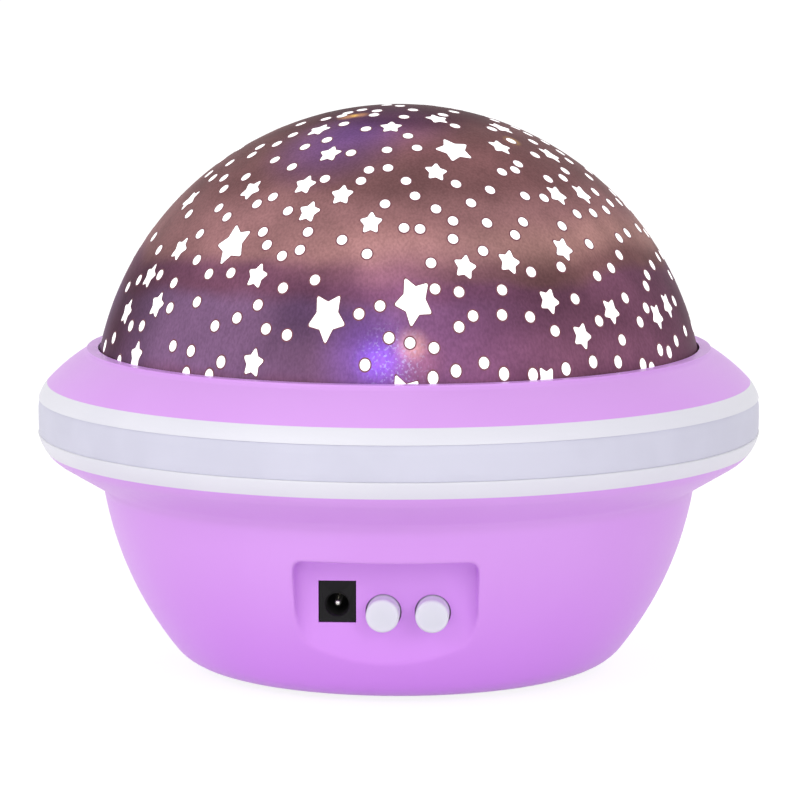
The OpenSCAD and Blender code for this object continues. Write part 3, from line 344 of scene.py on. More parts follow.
@dataclass(frozen=True)
class SmokedDomePlastic(Finish):
    """Smoked styrene with a metallic print: bronze, mauve and violet bands, with a patch of painted glints.

    Painted light: the glow of the lamps inside is painted into the print's colour, so it is brighter towards
    the front and the back, with painted glints of reflected lamps and patches of painted shade.
    """

    name: str = "smoked_styrene_printed"
    # height above the table in mm, and the band's tone there
    cool_bands: tuple[tuple[float, FilmTone], ...] = (
        (61, FilmTone.HEATHER),
        (66, FilmTone.MAUVE),
        (76.5, FilmTone.MAUVE),
        (80.5, FilmTone.MULBERRY),
        (83, FilmTone.MULBERRY),
        (87, FilmTone.BRONZE),
        (94, FilmTone.BRONZE),
        (100, FilmTone.BROWN),
        (107.5, FilmTone.BROWN),
        (111.5, FilmTone.UMBER),
    )
    warm_bands: tuple[tuple[float, FilmTone], ...] = (
        (61, FilmTone.MULBERRY),
        (67, FilmTone.HEATHER),
        (74, FilmTone.MULBERRY),
        (80.5, FilmTone.MULBERRY),
        (83.5, FilmTone.BROWN),
        (88.5, FilmTone.ROSE),
        (94.5, FilmTone.BRONZE),
        (100, FilmTone.BROWN),
        (107, FilmTone.BROWN),
        (111.5, FilmTone.UMBER),
    )
    # half the width over which the cool bands at the left turn into the warm ones
    turn_mm: float = 40.0
    # how far the bands wander up and down, and on what scale
    wander_mm: float = 2.6
    wander_size_mm: float = 34.0
    roughness: float = 0.42
    specular: float = 0.012
    cloud_mm: float = 9.0
    cloud_stretch: Place = (1.0, 1.0, 0.8)
    # the flakes of the print are too fine to show, so they are drawn coarser
    grain_mm: float = 0.45
    grain_stretch: Place = (1.0, 1.0, 0.5)
    grain_depth_mm: float = 0.006
    # how dark and how light the clouds and the grain make the print
    shades: tuple[float, float] = (0.86, 1.1)
    # painted light and shade, at the front and turned to the back: place, radius, strength and colour of soft
    # spots added to the print's colour: painted glow of the lamps inside, painted glints of reflected lamps,
    # and, below 0, painted shade
    lights: tuple[tuple[Place, float, float, str], ...] = (
        ((3, -49, 85.5), 19, 0.3, "ffeeea"),
        ((0.5, -53.5, 84), 14, 0.55, "ecffff"),
        ((-12, -24, 106.8), 17, 1.5, "3018ff"),
        ((-1, -15, 110.5), 17, 0.9, "6038ff"),
        ((4, -25, 106), 12, 0.3, "ffe0ff"),
        ((19, -25, 105.2), 16, 0.24, "ffe8e8"),
        ((2, -42, 93.5), 12, -0.14, "ffffff"),
        ((-14, -50, 88), 13, 0.26, "ffffff"),
        ((-16, -55, 73.5), 12, -0.26, "ffffff"),
        ((10, -56.5, 72), 29, 0.42, "cfa4ff"),
        ((-3, -58.5, 69.4), 12, 1, "5038ff"),
        ((-0.8, -59.2, 68.6), 6.5, 1.3, "a89cff"),
        ((4.9, -58.4, 71.9), 4.4, 2.1, "dcff7f"),
        ((6.4, -58.8, 69), 6.5, 0.5, "fff0a0"),
        # these three spots are painted reflections of the studio's lamps
        ((-9.6, -11, 110.9), 2.6, 7, "dcff69"),
        ((-7, -11, 111.3), 2.4, 6, "dcff69"),
        ((22.8, -14, 106.5), 2.4, 3.5, "dcff69"),
        ((42, -35, 91), 18, 0.32, "ffffff"),
        ((-34, -38, 93), 26, 0.22, "ffffff"),
        ((-38, -42, 71), 17, 0.2, "ffffff"),
        ((-15.4, -53, 77.4), 9, -0.28, "ffffd8"),
        ((-5, -56.5, 77.4), 10, -0.38, "ffffe8"),
        ((14, -53, 83), 17, -0.16, "ffe0e0"),
        ((29, -44, 81.5), 13, -0.32, "ffffff"),
        ((-55, -20, 70), 20, -0.7, "e4ffff"),
        ((-49, -25, 80), 24, -0.36, "ffffff"),
        ((57, -10, 70), 24, -0.32, "ffffff"),
    )
    # painted glints: a patch of painted highlight specks low at the front, at the lamps' glow: its place,
    # radius and strength, and the glints' look
    painted_glints: tuple[Place, float, float] = ((1.8, -59.2, 69.0), 9.0, 0.6)
    glint_mm: float = 0.55
    glint_span: tuple[float, float] = (0.54, 0.68)
    glint_colour: str = "d8d0ff"

    def ramp(self, add: Adder, level: Node, bands: Sequence[tuple[float, FilmTone]]) -> Node:
        """Adds one stack of bands.

        Args:
            add: Adds a node to the material's tree.
            level: The height in metres.
            bands: Each band's height and tone.

        Returns:
            The colour.
        """
        low, high = bands[0][0], bands[-1][0]
        ramp = add("ShaderNodeValToRGB", (add(SPAN, (level, low * MM, high * MM)),))
        stops = ramp.color_ramp
        stops.interpolation = "EASE"
        half_way = 0.5
        while len(stops.elements) < len(bands):
            stops.elements.new(half_way)
        for stop, (at, tone) in zip(stops.elements, bands):
            stop.position = (at - low) / (high - low)
            stop.color = linear(tone.value)
        return ramp

    def near(self, add: Adder, place: NodeSocket, spot: tuple[Place, float, float], side: int) -> Node:
        """Adds a soft spot on the dome.

        Args:
            add: Adds a node to the material's tree.
            place: The point that is shaded.
            spot: Its centre in mm, where it ends in mm, and its value at the centre.
            side: 1 for the front, -1 for its half turn to the back.

        Returns:
            The spot's value.
        """
        centre, radius, strength = spot
        at = Vector((centre[0] * side, centre[1] * side, centre[2])) * MM
        away = add(VECTOR, (place, at), operation="DISTANCE").outputs["Value"]
        return add(SPAN, (away, 0.0, radius * MM, strength, 0.0), **SMOOTH)

    def surface(self, add: Adder) -> dict:
        """Returns the shader's inputs, from nodes made with add."""
        place = add("ShaderNodeTexCoord").outputs["Object"]
        across, _, height = add("ShaderNodeSeparateXYZ", (place,)).outputs
        drift, turn = self.wander_mm * MM, self.turn_mm * MM
        waves = speckle(add, self.wander_size_mm, detail=3.0)
        wander = add(SPAN, (waves, *BROAD, -drift, drift), **SMOOTH)
        level = add(MATH, (height, wander), operation="ADD")
        warm = add(SPAN, (across, -turn, turn), **SMOOTH)
        cool_tone, warm_tone = (self.ramp(add, level, bands) for bands in (self.cool_bands, self.warm_bands))
        tone = add(MIX, {0: warm, 6: cool_tone, 7: warm_tone}, **COLOURS).outputs[2]
        clouds = speckle(add, self.cloud_mm, detail=4.0, stretch=self.cloud_stretch)
        cloudy = add(SPAN, (clouds, *MIDDLE, *self.shades), **SMOOTH)
        grain = speckle(add, self.grain_mm, stretch=self.grain_stretch)
        grainy = add(SPAN, (grain, *EVEN, *self.shades), **SMOOTH)
        shade = add(MATH, (cloudy, grainy), operation="MULTIPLY")
        tone = add(VECTOR, {0: tone, 3: shade}, operation="SCALE")
        # painted light and shade: each spot's colour is added to the print's tone
        for *spot, code in self.lights:
            for side in (1, -1):
                near = self.near(add, place, spot, side)
                painted_spot = add(VECTOR, {0: linear(code)[:3], 3: near}, operation="SCALE")
                tone = add(VECTOR, (tone, painted_spot, tone), operation="MULTIPLY_ADD")
        # painted glints: bright specks mixed into the print's tone
        points = add(SPAN, (speckle(add, self.glint_mm), *self.glint_span), **SMOOTH)
        for side in (1, -1):
            glints = add(MATH, (self.near(add, place, self.painted_glints, side), points), operation="MULTIPLY")
            tone = add(MIX, {0: glints, 6: tone, 7: linear(self.glint_colour)}, **COLOURS).outputs[2]
        depth = self.grain_depth_mm * MM
        return {
            "Base Color": tone,
            "Roughness": self.roughness,
            "Specular IOR Level": self.specular,
            "Normal": add("ShaderNodeBump", {"Height": grain, "Distance": depth, "Strength": 1.0}),
        }


@dataclass(frozen=True)
class LitWindow(Finish):
    """Clear styrene left bare by the print, full of lamp light."""

    colour: str
    strength: float
    tint: str = "fff4ff"
    tint_share: float = 0.12
    tint_mm: float = 3.0
    roughness: float = 0.3

    def surface(self, add: Adder) -> dict:
        """Returns the shader's inputs, from nodes made with add."""
        share = add(SPAN, (speckle(add, self.tint_mm), *CRISP, 0.0, self.tint_share), **SMOOTH)
        tones = {0: share, 6: linear(self.colour), 7: linear(self.tint)}
        return {
            "Base Color": add(MIX, tones, **COLOURS).outputs[2],
            "Roughness": self.roughness,
            "Emission Color": linear(self.colour),
            "Emission Strength": self.strength,
        }


@dataclass(frozen=True)
class PlainMetal(Finish):
    """A drawn or plated metal, with fine turning marks."""

    colour: str
    roughness: float
    # real turning marks are too fine to show, so they are drawn coarser
    mark_mm: float = 0.3
    mark_stretch: Place = (0.3, 0.3, 3.0)
    mark_depth_mm: float = 0.004
    mark_tone: str = "5c5c5c"
    mark_share: float = 0.25
    # the roughness beside the marks and on them, as shares of the metal's own
    rough_shares: tuple[float, float] = (0.8, 1.25)

    def surface(self, add: Adder) -> dict:
        """Returns the shader's inputs, from nodes made with add."""
        marks = speckle(add, self.mark_mm, detail=3.0, stretch=self.mark_stretch)
        share = add(SPAN, (marks, *MIDDLE, 0.0, self.mark_share), **SMOOTH)
        tones = {0: share, 6: linear(self.colour), 7: linear(self.mark_tone)}
        least, most = (self.roughness * share_of for share_of in self.rough_shares)
        depth = self.mark_depth_mm * MM
        return {
            "Base Color": add(MIX, tones, **COLOURS).outputs[2],
            "Roughness": add(SPAN, (marks, *BROAD, least, most), **SMOOTH),
            "Metallic": 1.0,
            "Normal": add("ShaderNodeBump", {"Height": marks, "Distance": depth, "Strength": 1.0}),
        }


@dataclass(frozen=True)
class LampEpoxy(Finish):
    """Tinted epoxy of a lamp, clear and round-ended, glowing from its die."""

    colour: str
    cloud_mm: float = 2.0
    roughness: float = 0.12
    strength: float = 0.6

    def surface(self, add: Adder) -> dict:
        """Returns the shader's inputs, from nodes made with add."""
        tones = {0: speckle(add, self.cloud_mm), 6: linear(self.colour), 7: linear("ffffff")}
        return {
            "Base Color": add(MIX, tones, **COLOURS).outputs[2],
            "Roughness": self.roughness,
            "Emission Color": linear(self.colour),
            "Emission Strength": self.strength,
        }


# each slot's finish, and what it gives the eye
FINISHES = {
    # satin, with a soft highlight, and painted shade: a deeper tone towards the table
    "lilac_shell": MouldedPlastic("lilac_abs_moulded", "daa2ee", "d89fec", specular=0.2, foot="d692f0"),
    # satin white with a cool cast
    "white_shell": MouldedPlastic("white_abs_moulded", "e2e1ea", "dfdee8", specular=0.35),
    # dull and greyer, as light from inside spreads in it
    "frosted_band": MouldedPlastic("frosted_acrylic_strip", "d0cfe0", "cccbdc", 0.5, 1.49, 12.0, 0.5, 0.02),
    "smoke_dome": SmokedDomePlastic(),
    # undyed, so a warm white
    "natural_plastic": MouldedPlastic("natural_abs_moulded", "ebe9e2", "e6e3da", 0.42),
    # waxy and a little shinier
    "gear_plastic": MouldedPlastic("acetal_moulded", "eeecdf", "e8e6d8", 0.3, 1.48),
    "white_plastic": MouldedPlastic("white_polypropylene_moulded", "ededee", "e6e6e8", 0.45),
    # bright, with marks round the turned parts
    "steel": PlainMetal("zinc_plated_steel", "c4c6ca", 0.32),
    "brass_gear": PlainMetal("turned_brass", "d9b25c", 0.28),
    # dull black that hardly mirrors the room
    "black_plastic": MouldedPlastic("black_nylon_moulded", "100f11", "131214", 0.5, specular=0.18),
    "lamp_board": MouldedPlastic("white_coated_board", "efefec", "e6e6e2", 0.3, 1.5, 6.0, 0.4, 0.01),
    # clear tinted drops with a bright middle
    "lamp_warm": LampEpoxy("clear_lamp_epoxy", "ffdca0"),
    "lamp_red": LampEpoxy("red_lamp_epoxy", "ff4a3c"),
    "lamp_green": LampEpoxy("green_lamp_epoxy", "58e068"),
    "lamp_blue": LampEpoxy("blue_lamp_epoxy", "5a70ff"),
    # glossy varnish over uneven green
    "circuit_board": MouldedPlastic("green_coated_board", "1d6b3c", "17592f", 0.3, 1.5, 3.0, 0.4, 0.02),
    "plated_contact": PlainMetal("nickel_plated_spring_steel", "cfcdc6", 0.22),
    # milky, so that its sides glow a little with the light that enters its face
    "button_cap": MouldedPlastic("button_abs_moulded", "dcdee4", "d8dae1", 0.35, milk=0.7),
    # matt and powdery
    "foot_rubber": MouldedPlastic("soft_rubber_moulded", "c9c9cc", "c2c2c6", 0.75, 1.52, 4.0, 0.5, 0.02),
    "lead_sleeve": MouldedPlastic("pvc_lead_sleeve", "b3262a", "a82226", 0.4),
}
# the print's windows, and the dull edge that shows round each of them
WINDOW = LitWindow("bare_styrene_window", "ffffff", strength=0.55)
WINDOW_EDGE = MouldedPlastic("print_edge", "7c4450", "723c48", 0.5)


class FinishShelf:
    """Makes each finish once and hands it out by the record's slot."""

    def __init__(self) -> None:
        """Starts with no material made."""
        self.made: dict[str, Material] = {}

    def get(self, slot: str) -> Material:
        """Returns the material of a slot."""
        if slot not in self.made:
            self.made[slot] = FINISHES[slot].make()
        return self.made[slot]


# ---- the photograph's view ----


@dataclass
class Viewpoint:
    """The camera at the photograph's angle, for a square picture."""

    distance_mm: float = 800.0
    elevation: float = 7.8
    azimuth: float = 2.6
    aim_z_mm: float = 53.29
    picture_px: float = 800.0
    focal_px: float = 3974.0
    axis_px: float = 398.7
    sensor_mm: float = 36.0
    # the nearest and the furthest that it sees
    reach_m: tuple[float, float] = (0.05, 20.0)

    def place(self) -> Vector:
        """Returns the camera's place in metres."""
        e, a = math.radians(self.elevation), math.radians(self.azimuth)
        out = Vector((math.cos(e) * math.sin(a), -math.cos(e) * math.cos(a), math.sin(e)))
        return out * self.distance_mm * MM + Vector((0, 0, self.aim_z_mm * MM))

    def axes(self) -> tuple[Vector, Vector, Vector]:
        """Returns the picture's right, up and away directions."""
        away = (Vector((0, 0, self.aim_z_mm * MM)) - self.place()).normalized()
        right = away.cross(Vector((0, 0, 1))).normalized()
        return right, right.cross(away), away

    def ray(self, px: float, py: float) -> Vector:
        """Returns the direction through a point of the picture."""
        right, up, away = self.axes()
        middle = self.picture_px / 2
        return (away * self.focal_px + right * (px - self.axis_px) + up * (middle - py)).normalized()

    def make(self) -> None:
        """Makes the camera and sets it as the scene's."""
        data = bpy.data.cameras.new("front_camera")
        data.sensor_width = self.sensor_mm
        data.lens = self.focal_px / self.picture_px * self.sensor_mm
        data.shift_x = (self.picture_px / 2 - self.axis_px) / self.picture_px
        data.clip_start, data.clip_end = self.reach_m
        camera = put("front_camera", data)
        right, up, away = self.axes()
        turn = Matrix((right, up, -away)).transposed().to_4x4()
        camera.matrix_world = Matrix.Translation(self.place()) @ turn
        bpy.context.scene.camera = camera


# ---- casings and controls ----


@dataclass
class ControlRecess:
    """The front of the bowl, with the soft edges that its mould gives the control recess."""

    # the arcs of the bowl's side and of the corner below it: radius and height of the centre, and
    # radius of the arc
    side: Place = (-9.103, 47.332, 69.3)
    corner: Place = (37.8, 10.4, 9.6)
    corner_top: float = 4.47
    wall: float = 2.0
    panel_y: float = 48.6
    panel_half: float = 17.3
    fillet: float = 3.0
    draft: float = 5.0
    top: float = 30.0
    top_r: float = 1.8
    # the part of the bowl that is made anew: half width, lowest and highest point, and depth
    patch: Place = (21.5, 6.2, 33.5)
    patch_depth: tuple[float, float] = (35.0, 70.0)
    # how far the hollow goes out past that part
    overshoot: float = 5.0
    # the blank that it is cut from: first angle, step and number of steps, the same for its
    # heights, and the radius that it is filled in to
    turns: tuple[float, float, int] = (-124.0, 0.5, 137)
    levels: tuple[float, float, int] = (3.0, 0.5, 68)
    core_r: float = 30.0
    # the grid on which the edges are softened, how strongly, and how many times
    voxel: float = 0.3
    soften: float = 0.5
    rounds: int = 34
    socket_gap: float = 0.15
    cap_hole_r: float = 3.45
    hole_sides: int = 72
    # how far the solids that cut the openings stand out of the panel
    hole_reach: float = 2.0

    def reach(self, z: float, sunk: float) -> float:
        """Returns the bowl's radius at a height, sunk below its surface."""
        middle, level, radius = self.side if z > self.corner_top else self.corner
        return middle + math.sqrt((radius - sunk) ** 2 - (level - z) ** 2)

    def wedge(self, loop: Sequence[tuple[float, float]]) -> Mesh:
        """Turns a loop of radius and height over the front of the bowl."""
        first, step, count = self.turns
        turns = [math.radians(first + step * k) for k in range(count)]
        return loft([[Vector((r * math.cos(a), r * math.sin(a), z)) for r, z in loop] for a in turns])

    def hollow(self, grown: float) -> Mesh:
        """Makes the recess's hollow, or the block that its walls are cut from.

        Args:
            grown: How far each side lies outside the hollow.

        Returns:
            The closed solid.
        """
        depth, half = self.panel_y - grown, self.panel_half + grown
        top, top_r = self.top + grown, self.top_r + grown
        bend = self.fillet
        steps = [(depth + bend * (1 - math.cos(a)), half - bend * (1 - math.sin(a))) for a in QUARTER]
        far = self.patch_depth[1] + self.overshoot
        steps.append((far, half + (far - depth - bend) * math.tan(math.radians(self.draft))))
        rings = []
        for y, w in steps:
            arch = [(w - top_r + top_r * math.cos(a), top - top_r + top_r * math.sin(a)) for a in QUARTER]
            outline = [(w, 0.0), *arch, *[(-x, z) for x, z in reversed(arch)], (-w, 0.0)]
            rings.append([Vector((x, -y, z)) for x, z in outline])
        return loft(rings)

    def frame_box(self) -> Mesh:
        """Makes the box round the part of the bowl that is made anew."""
        half, low, high = self.patch
        return block((-half, half), [-y for y in self.patch_depth], (low, high))

    def holes(self) -> list[Mesh]:
        """Makes the solids that cut the openings of the socket and the two caps."""
        depth = (self.hole_reach + self.wall - self.panel_y, -self.hole_reach - self.panel_y)
        low, high = (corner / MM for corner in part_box("dc_jack"))
        gap = self.socket_gap
        made = [block((low.x - gap, high.x + gap), depth, (low.z - gap, high.z + gap))]
        turns = [math.tau * k / self.hole_sides for k in range(self.hole_sides)]
        ring = [(self.cap_hole_r * math.cos(a), self.cap_hole_r * math.sin(a)) for a in turns]
        for cap in ("light_button", "motor_button"):
            low, high = (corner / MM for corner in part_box(cap))
            x, z = (low.x + high.x) / 2, (low.z + high.z) / 2
            made.append(loft([[Vector((x + u, y, z + w)) for u, w in ring] for y in depth]))
        return made

    def renew(self, bowl: Mesh) -> Mesh:
        """Replaces the front of the bowl by one with soft edges.

        Args:
            bowl: The bowl's merged mesh.

        Returns:
            The bowl with its new front.
        """
        first, step, count = self.levels
        heights = [first + step * k for k in range(count)]
        outside = [(self.reach(z, 0.0), z) for z in heights]
        shell = self.wedge(outside + [(self.reach(z, self.wall), z) for z in reversed(heights)])
        middle = [(self.reach(z, self.wall / 2), z) for z in heights]
        core = self.wedge([*middle, (self.core_r, heights[-1]), (self.core_r, heights[0])])
        rough = combined(shell, combined(core, self.hollow(self.wall), "INTERSECT"), "UNION")
        rough = combined(rough, self.hollow(0.0), "DIFFERENCE")
        even = applied(rough, "REMESH", mode="VOXEL", voxel_size=self.voxel * MM)
        front = applied(even, "SMOOTH", factor=self.soften, iterations=self.rounds)
        front = combined(front, self.frame_box(), "INTERSECT")
        for hole in self.holes():
            front = combined(front, hole, "DIFFERENCE")
        shape = bmesh.new()
        shape.from_mesh(combined(bowl, self.frame_box(), "DIFFERENCE"))
        shape.from_mesh(front)
        return to_mesh(shape, "lower_bowl_skin")


@dataclass
class DressedNodes:
    """CAD nodes that show, each as a smooth-shaded copy in its real finish."""

    shelf: FinishShelf
    recess: ControlRecess
    # a face whose normal points down further than this is shaded flat
    level_below: float = -0.9999
    # node, body, and the angle in degrees past which an edge stays sharp
    shown: tuple[tuple[str, Body, float], ...] = (
        ("lower_bowl", Body.BASE, 20.0),
        ("white_rim", Body.BASE, 24.0),
        ("frosted_band", Body.BASE, 24.0),
        ("upper_shell", Body.BASE, 24.0),
        ("dc_jack", Body.BASE, 30.0),
        ("jack_pin", Body.BASE, 30.0),
        ("jack_terminals", Body.BASE, 30.0),
        ("light_button", Body.LIGHT_KEY, 40.0),
        ("motor_button", Body.MOTOR_KEY, 40.0),
        ("battery_door", Body.DOOR, 30.0),
        ("door_screw", Body.DOOR, 30.0),
        ("case_screws", Body.BASE, 30.0),
        ("rubber_feet", Body.BASE, 30.0),
    )

    def copy(self, node: str, body: Body, sharp: float) -> Object:
        """Copies a node's mesh, merges it and shades it smooth.

        Args:
            node: The CAD node.
            body: The body that carries it.
            sharp: The angle in degrees past which an edge stays sharp.

        Returns:
            The new piece, which stands for the node.
        """
        mesh = merged_copy(node)
        if node == "lower_bowl":
            mesh = self.recess.renew(mesh)
        mesh.shade_smooth()
        mesh.set_sharp_from_angle(angle=math.radians(sharp))
        for face in mesh.polygons:
            face.use_smooth = face.normal.z > self.level_below
        slot = slot_of(node)
        mesh.materials.clear()
        mesh.materials.append(self.shelf.get(slot))
        piece = put(f"{node}_skin", mesh)
        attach(piece, body.value)
        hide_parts(node)
        return piece

    def make(self) -> list[Object]:
        """Copies every shown node, and gives the rest their finishes.

        Returns:
            The new pieces.
        """
        made = [self.copy(*row) for row in self.shown]
        for name, node in frame["nodes"].items():
            node.data.materials.clear()
            node.data.materials.append(self.shelf.get(slot_of(name)))
        return made


def merged_copy(node: str) -> Mesh:
    """Copies a CAD node's mesh and joins its loose corners.

    Args:
        node: The CAD node.

    Returns:
        The closed mesh.
    """
    mesh = frame["nodes"][node].data.copy()
    shape = bmesh.new()
    shape.from_mesh(mesh)
    bmesh.ops.remove_doubles(shape, verts=shape.verts, dist=JOINED)
    bmesh.ops.dissolve_degenerate(shape, edges=shape.edges, dist=SLIVER)
    shape.to_mesh(mesh)
    shape.free()
    return mesh


def slot_of(node: str) -> str:
    """Returns the record's material slot of a node."""
    return next(s["material_slot"] for s in frame["record"]["subparts"] if s["node"] == node)


# ---- the dome ----


@dataclass(frozen=True)
class WindowKind:
    """One kind of window in the dome's print, with its sizes in mm."""

    name: str
    arms: int
    radius: float
    # the radius between the arms, as a share of the outer one, and the rounding of the corners
    waist: float
    rounding: float
    # the print is stretched up the dome's side where the sheet was drawn deepest: how much so at
    # the foot and at the top, and the heights where the first ends and the second starts
    stretch: tuple[float, float]
    span: tuple[float, float] = (63.0, 69.0)


DOT = WindowKind("dots", 10, 0.99, 1.0, 0.0, (1.46, 1.1))
STAR = WindowKind("stars", 5, 2.42, 0.56, 0.26, (1.5, 1.22))
BIG_STAR = WindowKind("big_stars", 5, 3.85, 0.56, 0.26, (1.4, 1.14), (80.0, 98.0))

# the plain numbers among the inputs of the tree that lays the windows
SIZE_INPUTS = ("Radius", "Waist", "Rounding", "Sink", "Level", "Centre Height")
STRETCH_INPUTS = ("Foot Height", "Side Height", "Foot Stretch", "Top Stretch")


@dataclass
class StarDome:
    """The dome's printed shell, and the windows that the print leaves bare."""

    shelf: FinishShelf
    view: Viewpoint
    radius_mm: float = 61.2
    wall_mm: float = 1.8
    centre_z_mm: float = 51.55
    edge_rise_mm: float = 1.2
    lip_z_mm: float = 64.6
    sides: int = 256
    rings: int = 96
    # the box that keeps the hooks: how far it reaches past the wall and below the dome's centre,
    # and how far below the wall's edge it ends
    hook_box: Place = (1.0, 10.0, 0.01)
    # the angle past which an edge of the shell stays sharp
    sharp: float = 35.0
    window_sink_mm: float = 0.5
    window_proud_mm: float = 0.06
    outline_proud_mm: float = 0.03
    outline_w_mm: float = 0.26
    # a window has a twin on the far side where its direction's y is below this
    twin_below: float = -0.12
    # scattered dots: how many, how far apart, how far they go below the lip, the direction's y
    # from which they start, and how many tries each one has
    dots_behind: int = 190
    dot_gap_mm: float = 0.9
    below_lip_mm: float = 1.0
    scatter_from: float = 0.08
    tries: int = 40
    seed: int = 7
    # dots as seen in the photograph, row by row from the top: picture x and y
    dot_places: tuple[tuple[int, int], ...] = (
        (362, 110), (377, 111), (374, 115), (348, 113), (342, 116), (326, 119), (344, 124), (366, 129),
        (301, 124), (293, 135), (327, 140), (305, 147), (277, 144), (260, 147), (351, 153), (387, 150),
        (252, 155), (275, 160), (292, 167), (230, 163), (369, 170), (388, 168), (246, 177), (325, 179),
        (361, 181), (224, 178), (213, 178), (209, 174), (224, 189), (273, 197), (257, 204), (385, 204),
        (288, 211), (219, 208), (227, 217), (189, 214), (263, 232), (308, 232), (342, 240), (200, 234),
        (154, 237), (267, 245), (300, 250), (367, 254), (159, 250), (282, 256), (197, 260), (231, 273),
        (209, 274), (315, 280), (160, 275), (139, 280), (174, 283), (128, 287), (283, 288), (197, 302),
        (258, 305), (380, 306), (170, 308), (359, 314), (237, 318), (215, 326), (131, 326), (142, 326),
        (266, 329), (287, 335), (389, 338), (114, 338), (105, 346), (173, 346), (191, 351), (221, 362),
        (365, 365), (186, 374), (209, 376), (119, 362), (413, 110), (400, 106), (404, 117), (443, 115),
        (454, 112), (455, 126), (408, 136), (417, 148), (492, 129), (511, 141), (533, 142), (535, 155),
        (518, 164), (515, 170), (502, 172), (569, 161), (565, 171), (563, 178), (548, 179), (589, 177),
        (406, 181), (456, 184), (490, 190), (525, 196), (544, 198), (415, 196), (471, 203), (595, 192),
        (610, 203), (619, 202), (436, 209), (577, 214), (593, 213), (606, 210), (453, 221), (487, 223),
        (523, 222), (562, 226), (404, 228), (420, 229), (453, 239), (515, 235), (589, 244), (619, 238),
        (627, 233), (638, 228), (646, 233), (483, 251), (431, 263), (619, 255), (531, 272), (561, 267),
        (597, 276), (611, 268), (652, 265), (658, 257), (647, 275), (646, 286), (670, 275), (435, 289),
        (459, 292), (502, 290), (575, 299), (625, 298), (646, 308), (674, 301), (473, 316), (502, 315),
        (530, 317), (599, 321), (640, 322), (459, 327), (555, 331), (685, 331), (410, 343), (434, 348),
        (622, 340), (676, 341), (484, 363), (456, 371), (593, 362), (618, 362), (660, 350), (669, 352),
        (566, 369), (643, 365), (504, 374), (533, 375), (433, 378), (652, 369),
    )
    # stars as seen in the photograph: picture x, y, and the turn of the first arm from upright
    star_places: tuple[tuple[int, int, int], ...] = (
        (319, 130, 0), (330, 154, 0), (391, 127, 0), (251, 190, -25), (305, 185, -5),
        (342, 195, 0), (309, 212, -8), (371, 223, 0), (190, 200, -35), (180, 249, -20),
        (257, 276, -12), (150, 276, -15), (157, 305, -15), (127, 312, -15), (136, 356, -5),
        (253, 363, -10), (437, 119, 0), (436, 172, -11), (500, 147, -20), (501, 128, -20),
        (550, 155, -35), (557, 195, -30), (582, 194, -35), (563, 249, -25), (465, 267, -14),
        (509, 262, -17), (549, 301, -24), (582, 336, -20), (611, 311, -30), (657, 316, -30),
        (667, 305, -30), (547, 382, 36),
    )
    big_star_places: tuple[tuple[int, int, int], ...] = (
        (233, 244, 162), (327, 317, 180), (414, 301, 170), (454, 150, -130), (404, 400, 25),
    )

    def centre(self) -> Vector:
        """Returns the dome's centre in metres."""
        return Vector((0, 0, self.centre_z_mm * MM))

    def on_dome(self, px: float, py: float) -> Vector | None:
        """Finds where the ray through a point of the picture meets the dome.

        Args:
            px: Picture x.
            py: Picture y.

        Returns:
            The direction from the dome's centre, or None where the ray misses it.
        """
        ray, start = self.view.ray(px, py), self.view.place() - self.centre()
        half = ray.dot(start)
        inside = half**2 - start.length_squared + (self.radius_mm * MM) ** 2
        if inside < 0:
            return None
        return (start + ray * (-half - math.sqrt(inside))).normalized()

    def turned_frame(self, out: Vector, up: Vector, turn: float) -> Matrix:
        """Lays a flat shape on the dome with its first arm along up.

        Args:
            out: The direction from the dome's centre.
            up: The direction that counts as upright.
            turn: The turn from upright in degrees, counted against the clock.

        Returns:
            The rotation.
        """
        across = up.cross(out).normalized()
        high = out.cross(across).normalized()
        base = Matrix((across, high, out)).transposed()
        return base @ Matrix.Rotation(math.radians(turn), 3, "Z")

    def seen(self, places: Sequence[Sequence[int]], back: bool) -> list[Laid]:
        """Lays the windows that the photograph shows, and their twins on the far side.

        Args:
            places: Picture x and y of each window, and a star's turn.
            back: Whether each one has a twin, turned by half a turn.

        Returns:
            Each window's direction and rotation.
        """
        up = self.view.axes()[1]
        half_turn = Matrix.Rotation(math.pi, 3, "Z")
        laid = []
        for px, py, *turn in places:
            out = self.on_dome(px, py)
            if out is None:
                continue
            lie = self.turned_frame(out, up, turn[0] if turn else 0)
            laid.append((out, lie))
            if back and out.y < self.twin_below:
                laid.append((half_turn @ out, half_turn @ lie))
        return laid

    def apart(self, one: Vector, other: Vector) -> float:
        """Returns the distance in mm between two places on the dome."""
        return math.acos(max(-1.0, min(1.0, one.dot(other)))) * self.radius_mm

    def dots(self, taken: Sequence[tuple[Vector, float]]) -> list[Laid]:
        """Lays the dots that the photograph shows, and scatters the rest over the far side.

        Args:
            taken: Directions that the stars use, with the radius in mm that each one needs.

        Returns:
            Each dot's direction and rotation.
        """
        draw = random.Random(self.seed)
        laid = self.seen(self.dot_places, False)
        used = list(taken) + [(out, DOT.radius) for out, _ in laid]
        first = min(max(out.y for out, _ in laid), self.scatter_from)
        lowest = (self.lip_z_mm - self.below_lip_mm - self.centre_z_mm) / self.radius_mm
        wanted = len(laid) + self.dots_behind
        room = DOT.radius + self.dot_gap_mm
        for _ in range(self.tries * self.dots_behind):
            if len(laid) == wanted:
                break
            z, turn = draw.uniform(lowest, 1.0), draw.uniform(0, math.tau)
            flat = math.sqrt(1 - z * z)
            out = Vector((flat * math.cos(turn), flat * math.sin(turn), z))
            if out.y > first and all(self.apart(out, o) > room + r for o, r in used):
                used.append((out, DOT.radius))
                laid.append((out, self.turned_frame(out, Vector((0, 0, 1)), 0)))
        return laid

